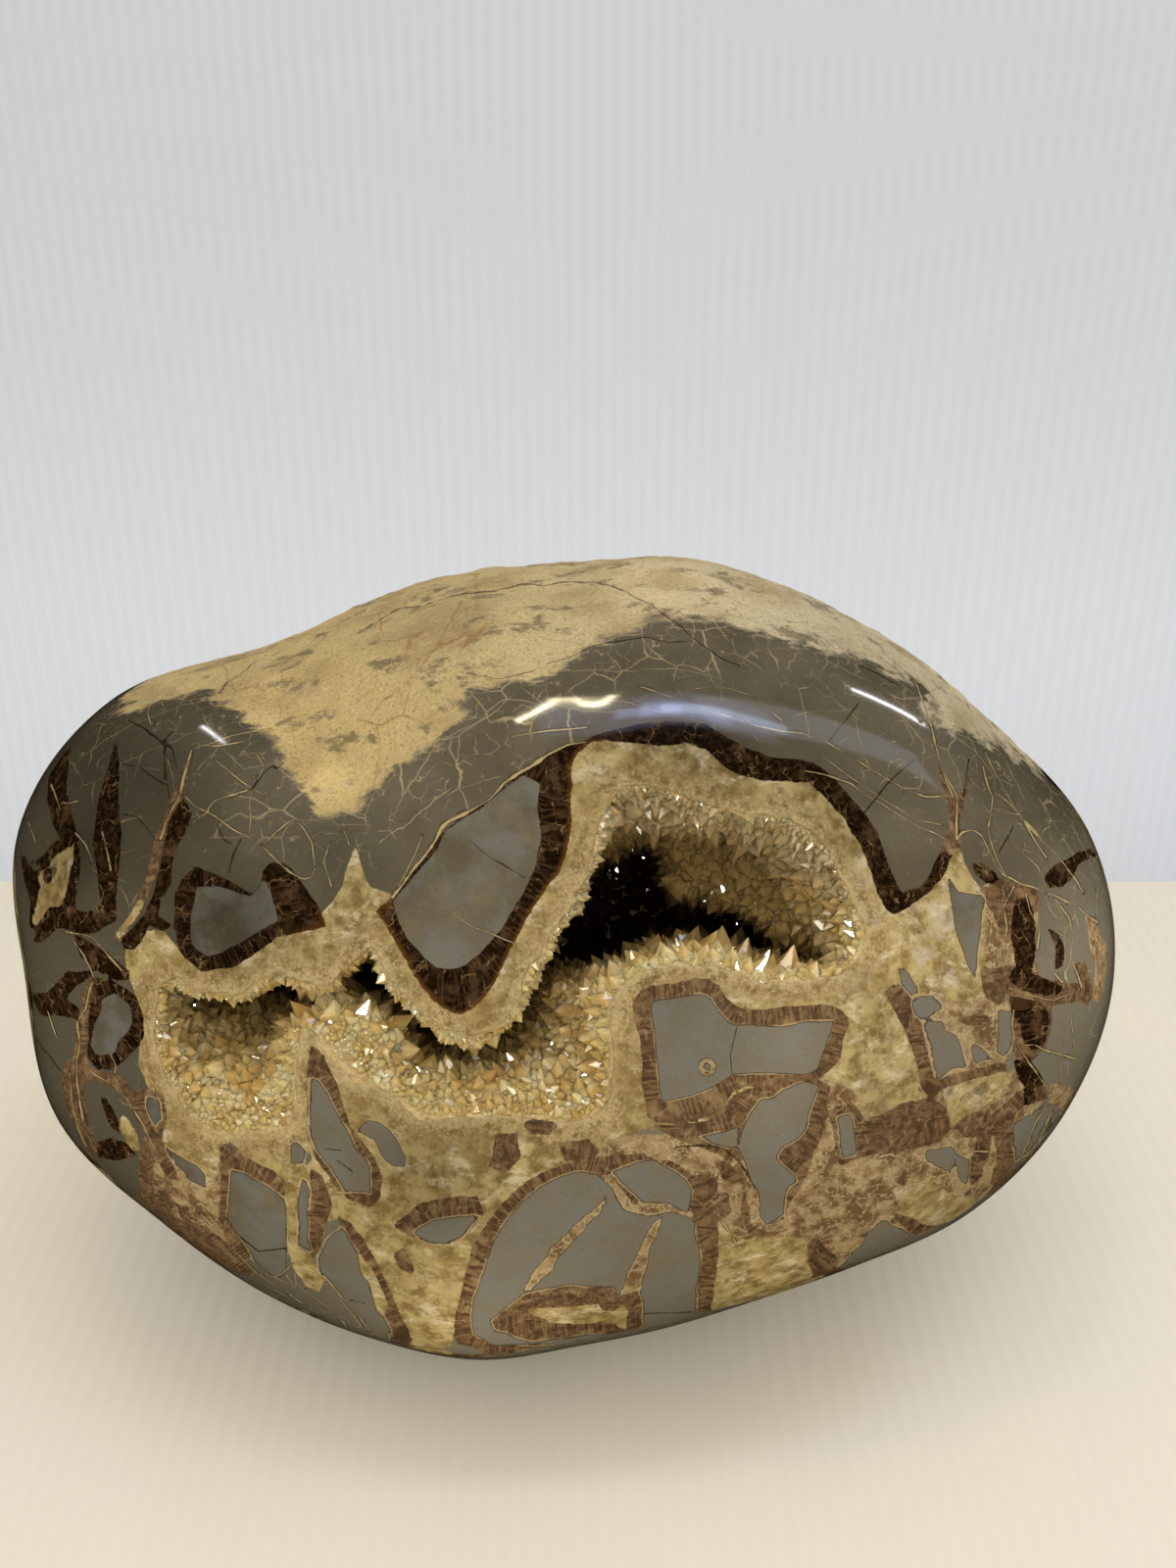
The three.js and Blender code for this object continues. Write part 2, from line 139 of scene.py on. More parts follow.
# ---------------------------------------------------------------- markings of the polished face
# Outlines in photo pixels, laid one over the other in this order. calcite: golden seam filling;
# tan: mottled aragonite; brown and dark: the rims round the limestone cells; core: bare limestone.
SHAPES = [
    # the golden zone round the hollow
    ("calcite", [
        (128, 960), (140, 950), (165, 950), (177, 962), (188, 978), (205, 990), (240, 987),
        (255, 978), (285, 956), (305, 952), (333, 945), (322, 935), (335, 925), (348, 905),
        (352, 885), (361, 862), (368, 885), (378, 905), (400, 912), (392, 922), (382, 930),
        (396, 950), (414, 980), (428, 1005), (440, 1020), (455, 1031), (470, 1036), (485, 1028),
        (495, 1018), (503, 1008), (525, 965), (538, 940), (548, 922), (562, 900), (570, 890),
        (577, 875), (580, 860), (584, 840), (583, 815), (586, 800), (584, 782), (590, 770),
        (604, 757), (620, 755), (650, 757), (670, 762), (700, 760), (720, 765), (740, 785),
        (755, 790), (780, 795), (825, 797), (840, 812), (862, 835), (868, 850), (878, 865),
        (888, 890), (897, 915), (912, 932), (925, 928), (940, 918), (955, 905), (965, 890),
        (972, 870), (976, 855), (985, 880), (1000, 905), (1012, 920), (1020, 950), (1018, 985),
        (1012, 1010), (1000, 1028), (975, 1030), (950, 1016), (925, 1020), (935, 1060),
        (945, 1105), (950, 1122), (925, 1125), (905, 1135), (885, 1145), (880, 1125),
        (870, 1112), (850, 1102), (835, 1100), (760, 1146), (700, 1160), (660, 1152),
        (625, 1165), (600, 1180), (565, 1198), (548, 1208), (530, 1225), (515, 1245),
        (500, 1262), (485, 1280), (478, 1300), (468, 1340), (460, 1375), (428, 1378),
        (425, 1355), (412, 1318), (400, 1288), (388, 1262), (375, 1240), (366, 1226),
        (345, 1210), (325, 1185), (312, 1172), (298, 1187), (285, 1180), (262, 1170),
        (231, 1160), (200, 1158), (180, 1165), (170, 1155), (160, 1130), (150, 1108),
        (140, 1085), (142, 1060), (147, 1045), (142, 1025), (135, 1005), (128, 985)]),
    ("calcite", [
        (231, 1160), (262, 1165), (298, 1185), (315, 1188), (322, 1178), (345, 1208), (366, 1224),
        (388, 1260), (400, 1286), (414, 1316), (428, 1355), (432, 1378), (416, 1378), (408, 1345),
        (395, 1325), (380, 1300), (362, 1264), (346, 1242), (330, 1246), (312, 1240), (300, 1215),
        (286, 1206), (262, 1190)]),
    ("calcite", [(168, 1150), (200, 1158), (231, 1160), (232, 1168), (226, 1180), (220, 1206),
                 (208, 1216), (192, 1200), (176, 1182), (164, 1166)]),
    # mottled ground, lower right and lower left
    ("tan", [
        (640, 1156), (700, 1160), (755, 1148), (800, 1110), (835, 1098), (872, 1112),
        (884, 1140), (965, 1128), (1000, 1108), (1035, 1090), (1060, 1105), (1072, 1118),
        (1045, 1150), (1030, 1190), (1010, 1215), (1000, 1232), (975, 1250), (905, 1290),
        (826, 1318), (722, 1350), (700, 1356), (708, 1250), (700, 1205), (680, 1190),
        (640, 1185), (600, 1192), (565, 1200), (600, 1178)]),
    ("tan", [(150, 1150), (165, 1165), (185, 1190), (208, 1216), (218, 1205), (226, 1180),
             (226, 1240), (232, 1268), (205, 1252), (185, 1242), (165, 1236), (150, 1215),
             (146, 1180)]),
    ("brown", [(150, 1158), (158, 1165), (158, 1190), (156, 1215), (166, 1236), (185, 1242),
               (205, 1250), (226, 1262), (240, 1278), (252, 1292), (270, 1304), (248, 1300),
               (220, 1286), (190, 1266), (165, 1247), (148, 1226), (141, 1200), (143, 1175)]),
    ("brown", [(160, 1216), (170, 1212), (178, 1228), (172, 1248), (162, 1240)]),
    ("brown", [(180, 1228), (192, 1230), (196, 1244), (186, 1246)]),
    # the arch over the right-hand mouth
    ("dark", [
        (590, 762), (604, 750), (630, 743), (650, 738), (680, 736), (720, 740), (735, 750),
        (760, 762), (790, 773), (815, 773), (830, 778), (850, 795), (865, 810), (882, 830),
        (895, 850), (905, 880), (915, 900), (920, 910), (940, 905), (948, 895), (953, 880),
        (968, 860), (976, 855), (972, 872), (965, 890), (955, 905), (940, 918), (925, 928),
        (912, 932), (905, 928), (897, 915), (888, 890), (878, 865), (868, 850), (862, 835),
        (850, 825), (840, 812), (825, 797), (780, 795), (755, 790), (740, 785), (720, 765),
        (700, 760), (670, 762), (650, 757), (620, 755), (604, 757)]),
    # the tongue that hangs between the two halves of the hollow
    ("dark", [
        (603, 757), (590, 770), (584, 782), (586, 800), (583, 815), (584, 840), (580, 860),
        (577, 875), (570, 890), (562, 900), (548, 922), (538, 940), (525, 965), (510, 993),
        (503, 1008), (495, 1018), (485, 1028), (470, 1036), (455, 1031), (440, 1020),
        (428, 1005), (414, 980), (405, 965), (396, 950), (388, 938), (382, 930), (392, 922),
        (400, 915), (420, 890), (445, 858), (475, 831), (500, 815), (525, 792), (560, 770),
        (580, 760)]),
    ("core", [
        (553, 800), (549, 825), (552, 855), (545, 885), (530, 920), (512, 948), (490, 972),
        (475, 985), (460, 989), (445, 987), (430, 975), (415, 958), (405, 940), (400, 918),
        (412, 905), (430, 885), (445, 868), (455, 850), (470, 838), (490, 826), (505, 812),
        (520, 800), (535, 790)]),
    # the cell over the left basin
    ("dark", [
        (177, 940), (178, 912), (185, 898), (200, 885), (230, 897), (258, 913), (266, 905),
        (268, 890), (275, 880), (290, 880), (300, 890), (310, 905), (325, 925), (333, 945),
        (305, 952), (285, 956), (255, 978), (240, 987), (205, 990), (188, 978), (180, 960)]),
    ("core", [
        (200, 905), (225, 905), (255, 915), (265, 905), (272, 895), (278, 915), (283, 940),
        (265, 950), (245, 963), (225, 972), (210, 976), (195, 965), (193, 955), (195, 930)]),
    # the anvil below the right-hand mouth
    ("brown", [
        (648, 1020), (655, 1010), (665, 1006), (690, 1004), (710, 999), (722, 999), (735, 1006),
        (742, 1018), (755, 1028), (770, 1032), (800, 1027), (840, 1026), (855, 1030),
        (865, 1038), (867, 1045), (862, 1060), (857, 1080), (843, 1093), (835, 1100),
        (822, 1106), (790, 1108), (765, 1108), (748, 1115), (735, 1135), (720, 1141),
        (700, 1146), (672, 1146), (662, 1140), (656, 1110), (654, 1060), (649, 1045),
        (647, 1030)]),
    ("core", [
        (666, 1021), (690, 1019), (715, 1014), (725, 1018), (733, 1030), (745, 1042),
        (752, 1046), (795, 1048), (820, 1044), (851, 1042), (848, 1055), (840, 1075),
        (834, 1090), (822, 1096), (770, 1094), (750, 1096), (740, 1102), (720, 1112),
        (700, 1119), (680, 1125), (674, 1123), (672, 1110), (671, 1080), (669, 1050),
        (665, 1030)]),
    ("brown", [(712, 1088), (715, 1081), (721, 1078), (728, 1081), (731, 1088), (728, 1095),
               (721, 1098), (714, 1095)]),
    ("core", [(717, 1088), (720, 1084), (725, 1086), (725, 1091), (720, 1092)]),
    # the cell below it
    ("brown", [
        (668, 1150), (700, 1148), (722, 1143), (740, 1130), (752, 1116), (770, 1110),
        (800, 1104), (835, 1100), (845, 1108), (843, 1140), (836, 1165), (826, 1190),
        (820, 1215), (812, 1240), (800, 1258), (785, 1264), (764, 1262), (758, 1240),
        (757, 1215), (755, 1200), (745, 1185), (733, 1176), (715, 1172), (690, 1162)]),
    ("tan", [(746, 1180), (757, 1186), (769, 1202), (777, 1220), (780, 1242), (788, 1250),
             (801, 1242), (806, 1226), (824, 1200), (832, 1202), (824, 1226), (812, 1246),
             (799, 1256), (783, 1259), (768, 1252), (764, 1230), (760, 1210)]),
    ("brown", [(728, 1182), (742, 1185), (755, 1197), (759, 1209), (748, 1209), (736, 1199)]),
    ("brown", [(709, 1197), (730, 1198), (733, 1222), (714, 1232), (702, 1224)]),
    ("brown", [(732, 1214), (745, 1217), (747, 1236), (738, 1243), (730, 1232)]),
    ("core", [
        (764, 1140), (776, 1122), (790, 1120), (800, 1112), (820, 1104), (835, 1106),
        (832, 1115), (825, 1135), (822, 1150), (815, 1162), (800, 1170), (792, 1180),
        (800, 1190), (812, 1200), (813, 1205), (803, 1212), (800, 1225), (799, 1238),
        (782, 1250), (776, 1240), (773, 1215), (768, 1205), (762, 1190), (753, 1172),
        (757, 1155)]),
    ("core", [(714, 1161), (740, 1155), (755, 1149), (751, 1171), (735, 1170)]),
    ("brown", [(843, 1135), (850, 1128), (872, 1126), (880, 1140), (886, 1180), (858, 1190),
               (850, 1160)]),
    ("core", [(853, 1139), (868, 1136), (874, 1178), (860, 1181)]),
    # the lens, lower left
    ("brown", [(400, 1250), (415, 1240), (430, 1228), (450, 1224), (470, 1222), (487, 1220),
               (492, 1240), (480, 1256), (470, 1266), (455, 1272), (440, 1271), (425, 1265),
               (412, 1258)]),
    ("core", [(422, 1258), (430, 1252), (445, 1245), (470, 1242), (487, 1241), (478, 1252),
              (470, 1263), (455, 1269), (440, 1268), (428, 1263)]),
    # the big cell at the bottom, with its two tapering cracks
    ("brown", [
        (462, 1352), (470, 1320), (474, 1300), (480, 1278), (488, 1262), (497, 1246),
        (510, 1230), (525, 1213), (542, 1200), (560, 1192), (590, 1184), (620, 1180),
        (650, 1178), (680, 1185), (705, 1195), (722, 1205), (730, 1230), (736, 1250),
        (733, 1300), (728, 1325), (720, 1350), (650, 1372), (500, 1380), (466, 1372)]),
    ("tan", [(612, 1196), (622, 1199), (633, 1213), (646, 1227), (665, 1230), (685, 1229),
             (706, 1236), (706, 1244), (685, 1240), (660, 1241), (641, 1237), (628, 1224),
             (620, 1210)]),
    ("core", [
        (481, 1345), (484, 1325), (490, 1305), (497, 1285), (504, 1268), (512, 1252),
        (522, 1238), (535, 1223), (550, 1210), (565, 1203), (580, 1198), (595, 1196),
        (610, 1200), (620, 1208), (628, 1222), (640, 1235), (660, 1240), (685, 1238),
        (703, 1242), (708, 1250), (708, 1262), (713, 1272), (715, 1290), (712, 1310),
        (709, 1352), (655, 1372), (500, 1372), (484, 1362)]),
    ("core", [(625, 1197), (652, 1187), (668, 1185), (680, 1192), (700, 1203), (706, 1215),
              (700, 1237), (680, 1228), (655, 1226), (640, 1213)]),
    ("tan", [(532, 1318), (545, 1295), (560, 1280), (575, 1262), (590, 1247), (605, 1235),
             (620, 1221), (612, 1238), (598, 1252), (585, 1268), (570, 1284), (555, 1302),
             (543, 1316)]),
    ("tan", [(632, 1322), (640, 1300), (650, 1280), (658, 1265), (666, 1250), (677, 1241),
             (670, 1260), (663, 1275), (660, 1290), (655, 1305), (652, 1320)]),
    ("brown", [
        (500, 1348), (515, 1335), (535, 1320), (541, 1318), (565, 1313), (580, 1311),
        (605, 1313), (625, 1312), (630, 1322), (640, 1318), (650, 1316), (656, 1330),
        (657, 1350), (655, 1364), (640, 1368), (625, 1370), (615, 1362), (600, 1362),
        (575, 1366), (545, 1370), (530, 1366), (518, 1360), (505, 1358)]),
    ("calcite", [(540, 1335), (560, 1334), (590, 1332), (610, 1330), (615, 1337), (628, 1338),
                 (636, 1332), (640, 1340), (640, 1360), (632, 1355), (625, 1348), (605, 1350),
                 (585, 1352), (560, 1348), (545, 1342)]),
    ("calcite", [(425, 1355), (445, 1352), (460, 1358), (454, 1378), (432, 1376)]),
    # the fin between the left basin and the tongue
    ("brown", [(316, 1062), (330, 1075), (345, 1110), (352, 1130), (358, 1150), (370, 1165),
               (382, 1180), (390, 1200), (388, 1222), (378, 1234), (355, 1224), (340, 1208),
               (322, 1180), (313, 1160), (313, 1110)]),
    ("core", [(318, 1100), (325, 1102), (335, 1118), (345, 1138), (355, 1155), (362, 1172),
              (372, 1180), (378, 1190), (378, 1217), (352, 1215), (345, 1203), (335, 1188),
              (322, 1170), (316, 1155), (317, 1130)]),
    ("core", [(365, 1155), (375, 1145), (385, 1145), (395, 1152), (405, 1165), (413, 1180),
              (412, 1190), (400, 1188), (390, 1180), (383, 1165)]),
    # lower left cells
    ("brown", [(225, 1172), (231, 1166), (262, 1186), (280, 1194), (292, 1206), (294, 1250),
               (292, 1280), (262, 1284), (250, 1290), (232, 1268), (222, 1240), (226, 1200)]),
    ("core", [(237, 1193), (252, 1197), (268, 1207), (285, 1220), (291, 1228), (292, 1268),
              (292, 1300), (280, 1306), (262, 1290), (250, 1268), (240, 1256), (232, 1245),
              (234, 1225), (236, 1207)]),
    ("brown", [(316, 1190), (330, 1200), (340, 1228), (332, 1250), (326, 1275), (322, 1285),
               (314, 1275), (313, 1245), (318, 1225)]),
    ("core", [(297, 1167), (302, 1164), (312, 1174), (310, 1185), (298, 1187)]),
    ("core", [(310, 1200), (316, 1212), (314, 1240), (313, 1262), (318, 1276), (305, 1270),
              (305, 1235), (307, 1210)]),
    ("brown", [(345, 1240), (355, 1245), (370, 1262), (385, 1290), (400, 1320), (410, 1345),
               (422, 1370), (405, 1372), (392, 1345), (380, 1315), (365, 1285), (350, 1258)]),
    ("core", [(350, 1252), (358, 1268), (370, 1290), (376, 1310), (385, 1330), (398, 1358),
              (385, 1366), (370, 1355), (345, 1318), (330, 1300), (326, 1285), (333, 1265),
              (340, 1258)]),
    ("calcite", [(292, 1212), (304, 1205), (303, 1245), (303, 1270), (316, 1280), (332, 1303),
                 (325, 1318), (312, 1312), (300, 1295), (293, 1270), (292, 1240)]),
    ("calcite", [(363, 1275), (375, 1290), (385, 1305), (396, 1330), (392, 1343), (385, 1335),
                 (378, 1310), (368, 1300)]),
    ("core", [(168, 1172), (180, 1178), (200, 1190), (208, 1200), (208, 1213), (195, 1205),
              (182, 1192)]),
    ("brown", [(140, 1112), (150, 1112), (166, 1118), (170, 1140), (166, 1158), (155, 1150),
               (148, 1140)]),
    ("core", [(150, 1120), (162, 1124), (164, 1142), (157, 1150), (150, 1138)]),
    ("brown", [(400, 1280), (412, 1274), (422, 1296), (420, 1302), (408, 1296)]),
    # small brown patches in the golden ground
    ("brown", [(570, 1165), (600, 1162), (612, 1175), (600, 1186), (575, 1184)]),
    ("brown", [(533, 1146), (550, 1138), (570, 1148), (560, 1158), (540, 1158)]),
    ("brown", [(505, 1158), (528, 1155), (530, 1180), (515, 1196), (500, 1190)]),
    # the left end: two dark spikes, a pale patch with a brown rim, cells in a net of seams
    ("dark", [(79, 744), (76, 757), (71, 770), (69, 785), (68, 800), (70, 815), (75, 835),
              (78, 852), (70, 856), (62, 858), (54, 840), (50, 815), (48, 790), (51, 772),
              (56, 780), (60, 770), (68, 757)]),
    ("dark", [(76, 850), (82, 856), (72, 866), (62, 868), (56, 880), (46, 886), (38, 884),
              (30, 880), (42, 876), (50, 866), (58, 858)]),
    ("dark", [(76, 858), (81, 870), (82, 890), (79, 915), (80, 940), (68, 944), (60, 930),
               (45, 934), (36, 948), (28, 944), (30, 920), (24, 895), (18, 866), (26, 872),
               (34, 890), (44, 886), (56, 880), (64, 868)]),
    ("calcite", [(74, 862), (74, 876), (71, 895), (69, 912), (61, 924), (50, 925), (44, 932),
                 (37, 944), (31, 940), (37, 922), (40, 905), (38, 893), (50, 882), (60, 870)]),
    ("dark", [(47, 885), (53, 888), (53, 898), (47, 902), (42, 896)]),
    ("dark", [(33, 956), (42, 942), (50, 933), (62, 932), (80, 930), (98, 930), (104, 922),
              (114, 912), (120, 922), (120, 938), (108, 944), (98, 952), (84, 952), (74, 948),
              (62, 946), (52, 954), (42, 962), (34, 962)]),
    ("dark", [(118, 748), (115, 760), (111, 778), (106, 798), (101, 815), (98, 838), (94, 858),
              (97, 880), (100, 900), (104, 920), (110, 930), (118, 934), (120, 905),
              (123, 882), (124, 850), (122, 810), (121, 780)]),
    ("brown", [(194, 768), (195, 780), (191, 798), (188, 812), (178, 826), (171, 842),
               (166, 862), (161, 888), (153, 908), (143, 930), (129, 950), (121, 962),
               (117, 953), (132, 932), (146, 904), (154, 874), (160, 850), (167, 832),
               (176, 814), (184, 796), (189, 780)]),
    ("dark", [(188, 814), (196, 830), (190, 850), (182, 864), (176, 884), (176, 900),
              (164, 918), (160, 934), (176, 944), (165, 950), (152, 944), (146, 958),
              (136, 970), (126, 966), (124, 958), (134, 948), (146, 934), (156, 912),
              (164, 888), (168, 862), (172, 840), (180, 822)]),
    ("calcite", [(142, 916), (146, 920), (140, 934), (130, 946), (122, 957), (119, 950),
                 (130, 936)]),
    ("dark", [(76, 952), (88, 957), (104, 968), (120, 980), (131, 990), (132, 1000),
              (114, 999), (97, 991), (84, 977)]),
    ("dark", [(33, 1014), (48, 1012), (60, 1000), (70, 990), (80, 992), (96, 990), (90, 1000),
              (78, 1006), (68, 1018), (82, 1030), (80, 1040), (60, 1037), (42, 1036)]),
    ("brown", [(92, 998), (100, 996), (94, 1018), (90, 1040), (88, 1060), (86, 1078),
               (94, 1090), (106, 1094), (120, 1096), (132, 1108), (146, 1124), (156, 1148),
               (168, 1172), (184, 1204), (174, 1202), (160, 1184), (147, 1158), (136, 1138),
               (124, 1118), (112, 1108), (98, 1104), (89, 1102), (88, 1122), (91, 1142),
               (98, 1162), (108, 1184), (98, 1180), (84, 1160), (68, 1132), (62, 1104),
               (64, 1084), (74, 1078), (76, 1050), (82, 1036), (84, 1014)]),
    ("dark", [(96, 998), (110, 1000), (128, 1008), (140, 1018), (146, 1036), (147, 1056),
              (138, 1070), (127, 1082), (112, 1091), (98, 1090), (88, 1078), (90, 1058),
              (90, 1040), (93, 1018)]),
    ("core", [(103, 1020), (115, 1013), (125, 1018), (134, 1026), (135, 1044), (130, 1054),
              (120, 1064), (116, 1075), (98, 1077), (92, 1066), (96, 1042), (103, 1030)]),
    ("calcite", [(124, 1136), (131, 1143), (139, 1157), (143, 1172), (136, 1176), (128, 1162),
                 (123, 1148)]),
    ("dark", [(100, 1164), (114, 1160), (130, 1166), (139, 1180), (120, 1183), (102, 1181)]),
    ("dark", [(102, 1118), (110, 1122), (120, 1140), (124, 1158), (114, 1150), (106, 1134)]),
    # the right end
    ("tan", [(1000, 905), (1020, 898), (1045, 905), (1058, 920), (1056, 960), (1060, 1000),
             (1030, 1008), (1005, 1003), (1004, 960), (1008, 930)]),
    ("tan", [(943, 1046), (950, 1035), (958, 1027), (968, 1022), (989, 1024), (1008, 1020),
             (1019, 1022), (1030, 1019), (1035, 1030), (1035, 1051), (1032, 1073), (1027, 1086),
             (1014, 1092), (989, 1095), (975, 1115), (970, 1130), (950, 1130), (938, 1110),
             (947, 1073)]),
    ("brown", [(1030, 985), (1040, 990), (1090, 1004), (1116, 1004), (1118, 1016), (1100, 1024),
               (1072, 1026), (1072, 1050), (1068, 1070), (1056, 1082), (1040, 1085),
               (1033, 1070), (1033, 1040), (1030, 1010)]),
    ("brown", [(903, 1012), (915, 1003), (928, 1012), (940, 1040), (948, 1080), (955, 1102),
               (1000, 1090), (1025, 1082), (1028, 1092), (1000, 1102), (962, 1112), (950, 1122),
               (940, 1108), (935, 1080), (922, 1045)]),
    ("brown", [(1000, 985), (1015, 988), (1027, 984), (1032, 1000), (1026, 1020), (1012, 1030),
               (1003, 1010)]),
    ("dark", [(992, 880), (1003, 879), (1015, 888), (1021, 898), (1018, 904), (1006, 899),
              (997, 892)]),
    ("brown", [(1000, 906), (1012, 903), (1022, 894), (1034, 902), (1056, 908), (1062, 918),
               (1052, 940), (1046, 918), (1036, 920), (1034, 950), (1029, 968), (1021, 952),
               (1013, 930), (1005, 918)]),
    ("dark", [(1068, 948), (1078, 952), (1086, 968), (1084, 986), (1076, 990), (1076, 970)]),
    ("tan", [(960, 1030), (975, 1027), (1000, 1018), (1018, 1024), (1021, 1050), (1018, 1076),
             (1008, 1078), (990, 1062), (976, 1058), (966, 1044)]),
    ("brown", [(978, 1040), (996, 1034), (1012, 1038), (1004, 1048), (985, 1048)]),
    ("tan", [(1108, 934), (1118, 938), (1122, 955), (1131, 965), (1129, 990), (1123, 1022),
             (1115, 1018), (1118, 985), (1112, 960)]),
    ("brown", [(1096, 985), (1108, 980), (1114, 1000), (1112, 1026), (1100, 1024),
               (1102, 1005)]),
    ("dark", [(1035, 1082), (1050, 1080), (1062, 1097), (1066, 1110), (1046, 1109),
              (1037, 1098)]),
    ("brown", [(1012, 1136), (1030, 1120), (1045, 1111), (1066, 1110), (1069, 1124),
               (1052, 1128), (1037, 1134), (1034, 1160), (1036, 1185), (1022, 1207),
               (1008, 1210), (1018, 1180)]),
    ("dark", [(1044, 1112), (1056, 1112), (1056, 1126), (1044, 1128)]),
    ("tan", [(1066, 1108), (1080, 1107), (1096, 1112), (1099, 1122), (1088, 1131),
             (1076, 1128), (1070, 1120)]),
    ("brown", [(956, 782), (962, 788), (968, 804), (975, 818), (983, 803), (988, 788),
               (991, 780), (987, 804), (980, 832), (981, 862), (972, 872), (960, 868),
               (967, 847), (970, 830), (964, 812), (958, 796)]),
    ("brown", [(824, 1270), (832, 1264), (846, 1275), (858, 1286), (850, 1300), (832, 1308),
               (825, 1296)]),
    ("brown", [(885, 1145), (905, 1135), (925, 1124), (950, 1120), (965, 1130), (970, 1150),
               (960, 1165), (930, 1172), (890, 1180), (884, 1160)]),
    ("brown", [(970, 1150), (1000, 1132), (1015, 1135), (1012, 1165), (1003, 1200),
               (990, 1212), (985, 1190), (1000, 1160), (985, 1160)]),
    ("brown", [(910, 1238), (925, 1240), (945, 1250), (978, 1248), (960, 1264), (940, 1270),
               (925, 1255)]),
    ("calcite", [(962, 1112), (1000, 1100), (1025, 1093), (1030, 1102), (1020, 1118),
                 (1000, 1132), (980, 1142), (970, 1152), (966, 1130)]),
    ("calcite", [(908, 1210), (925, 1212), (945, 1204), (960, 1212), (975, 1222), (995, 1222),
                 (1000, 1230), (975, 1248), (945, 1250), (925, 1238), (915, 1225)]),
    ("calcite", [(733, 1245), (745, 1258), (760, 1266), (800, 1262), (825, 1265), (822, 1285),
                 (830, 1300), (825, 1312), (760, 1334), (722, 1348), (728, 1320),
                 (733, 1290)]),
    ("core", [(967, 890), (978, 910), (1005, 915), (1000, 955), (995, 1000), (985, 980),
              (975, 950), (970, 915)]),
    ("core", [(917, 985), (925, 990), (938, 1010), (930, 1015), (920, 1003)]),
    ("core", [(931, 1022), (940, 1015), (950, 1016), (960, 1028), (952, 1032), (943, 1040),
              (935, 1035)]),
    ("core", [(944, 1042), (960, 1042), (965, 1052), (975, 1058), (980, 1070), (985, 1088),
              (970, 1093), (957, 1101), (953, 1080), (948, 1060)]),
    ("core", [(990, 1064), (1000, 1070), (1013, 1080), (993, 1086)]),
    ("core", [(1020, 1030), (1032, 1032), (1034, 1060), (1025, 1078), (1018, 1072)]),
    ("core", [(946, 1172), (970, 1170), (975, 1180), (970, 1198), (958, 1192), (945, 1182)]),
    ("core", [(975, 1180), (988, 1185), (988, 1200), (985, 1210), (977, 1200)]),
    ("core", [(1036, 1150), (1055, 1135), (1075, 1125), (1070, 1150), (1050, 1175),
              (1035, 1185)]),
    ("core", [(846, 1306), (862, 1285), (880, 1270), (886, 1258), (895, 1250), (905, 1246),
              (920, 1255), (940, 1268), (905, 1290)]),
    ("dark", [(1028, 995), (1040, 985), (1060, 995), (1085, 1008), (1080, 1016), (1060, 1014),
              (1040, 1010)]),
    ("dark", [(1032, 1016), (1046, 1019), (1062, 1023), (1069, 1035), (1069, 1054),
              (1065, 1070), (1054, 1072), (1043, 1062), (1042, 1044), (1034, 1036)]),
    ("dark", [(1033, 920), (1048, 915), (1056, 940), (1056, 990), (1040, 995), (1032, 960)]),
    ("dark", [(1130, 865), (1106, 867), (1088, 875), (1072, 886), (1063, 896), (1067, 906),
              (1081, 904), (1093, 896), (1099, 883), (1112, 875), (1130, 872)]),
]
KINDS = ("stone", "calcite", "tan", "brown", "dark", "core")

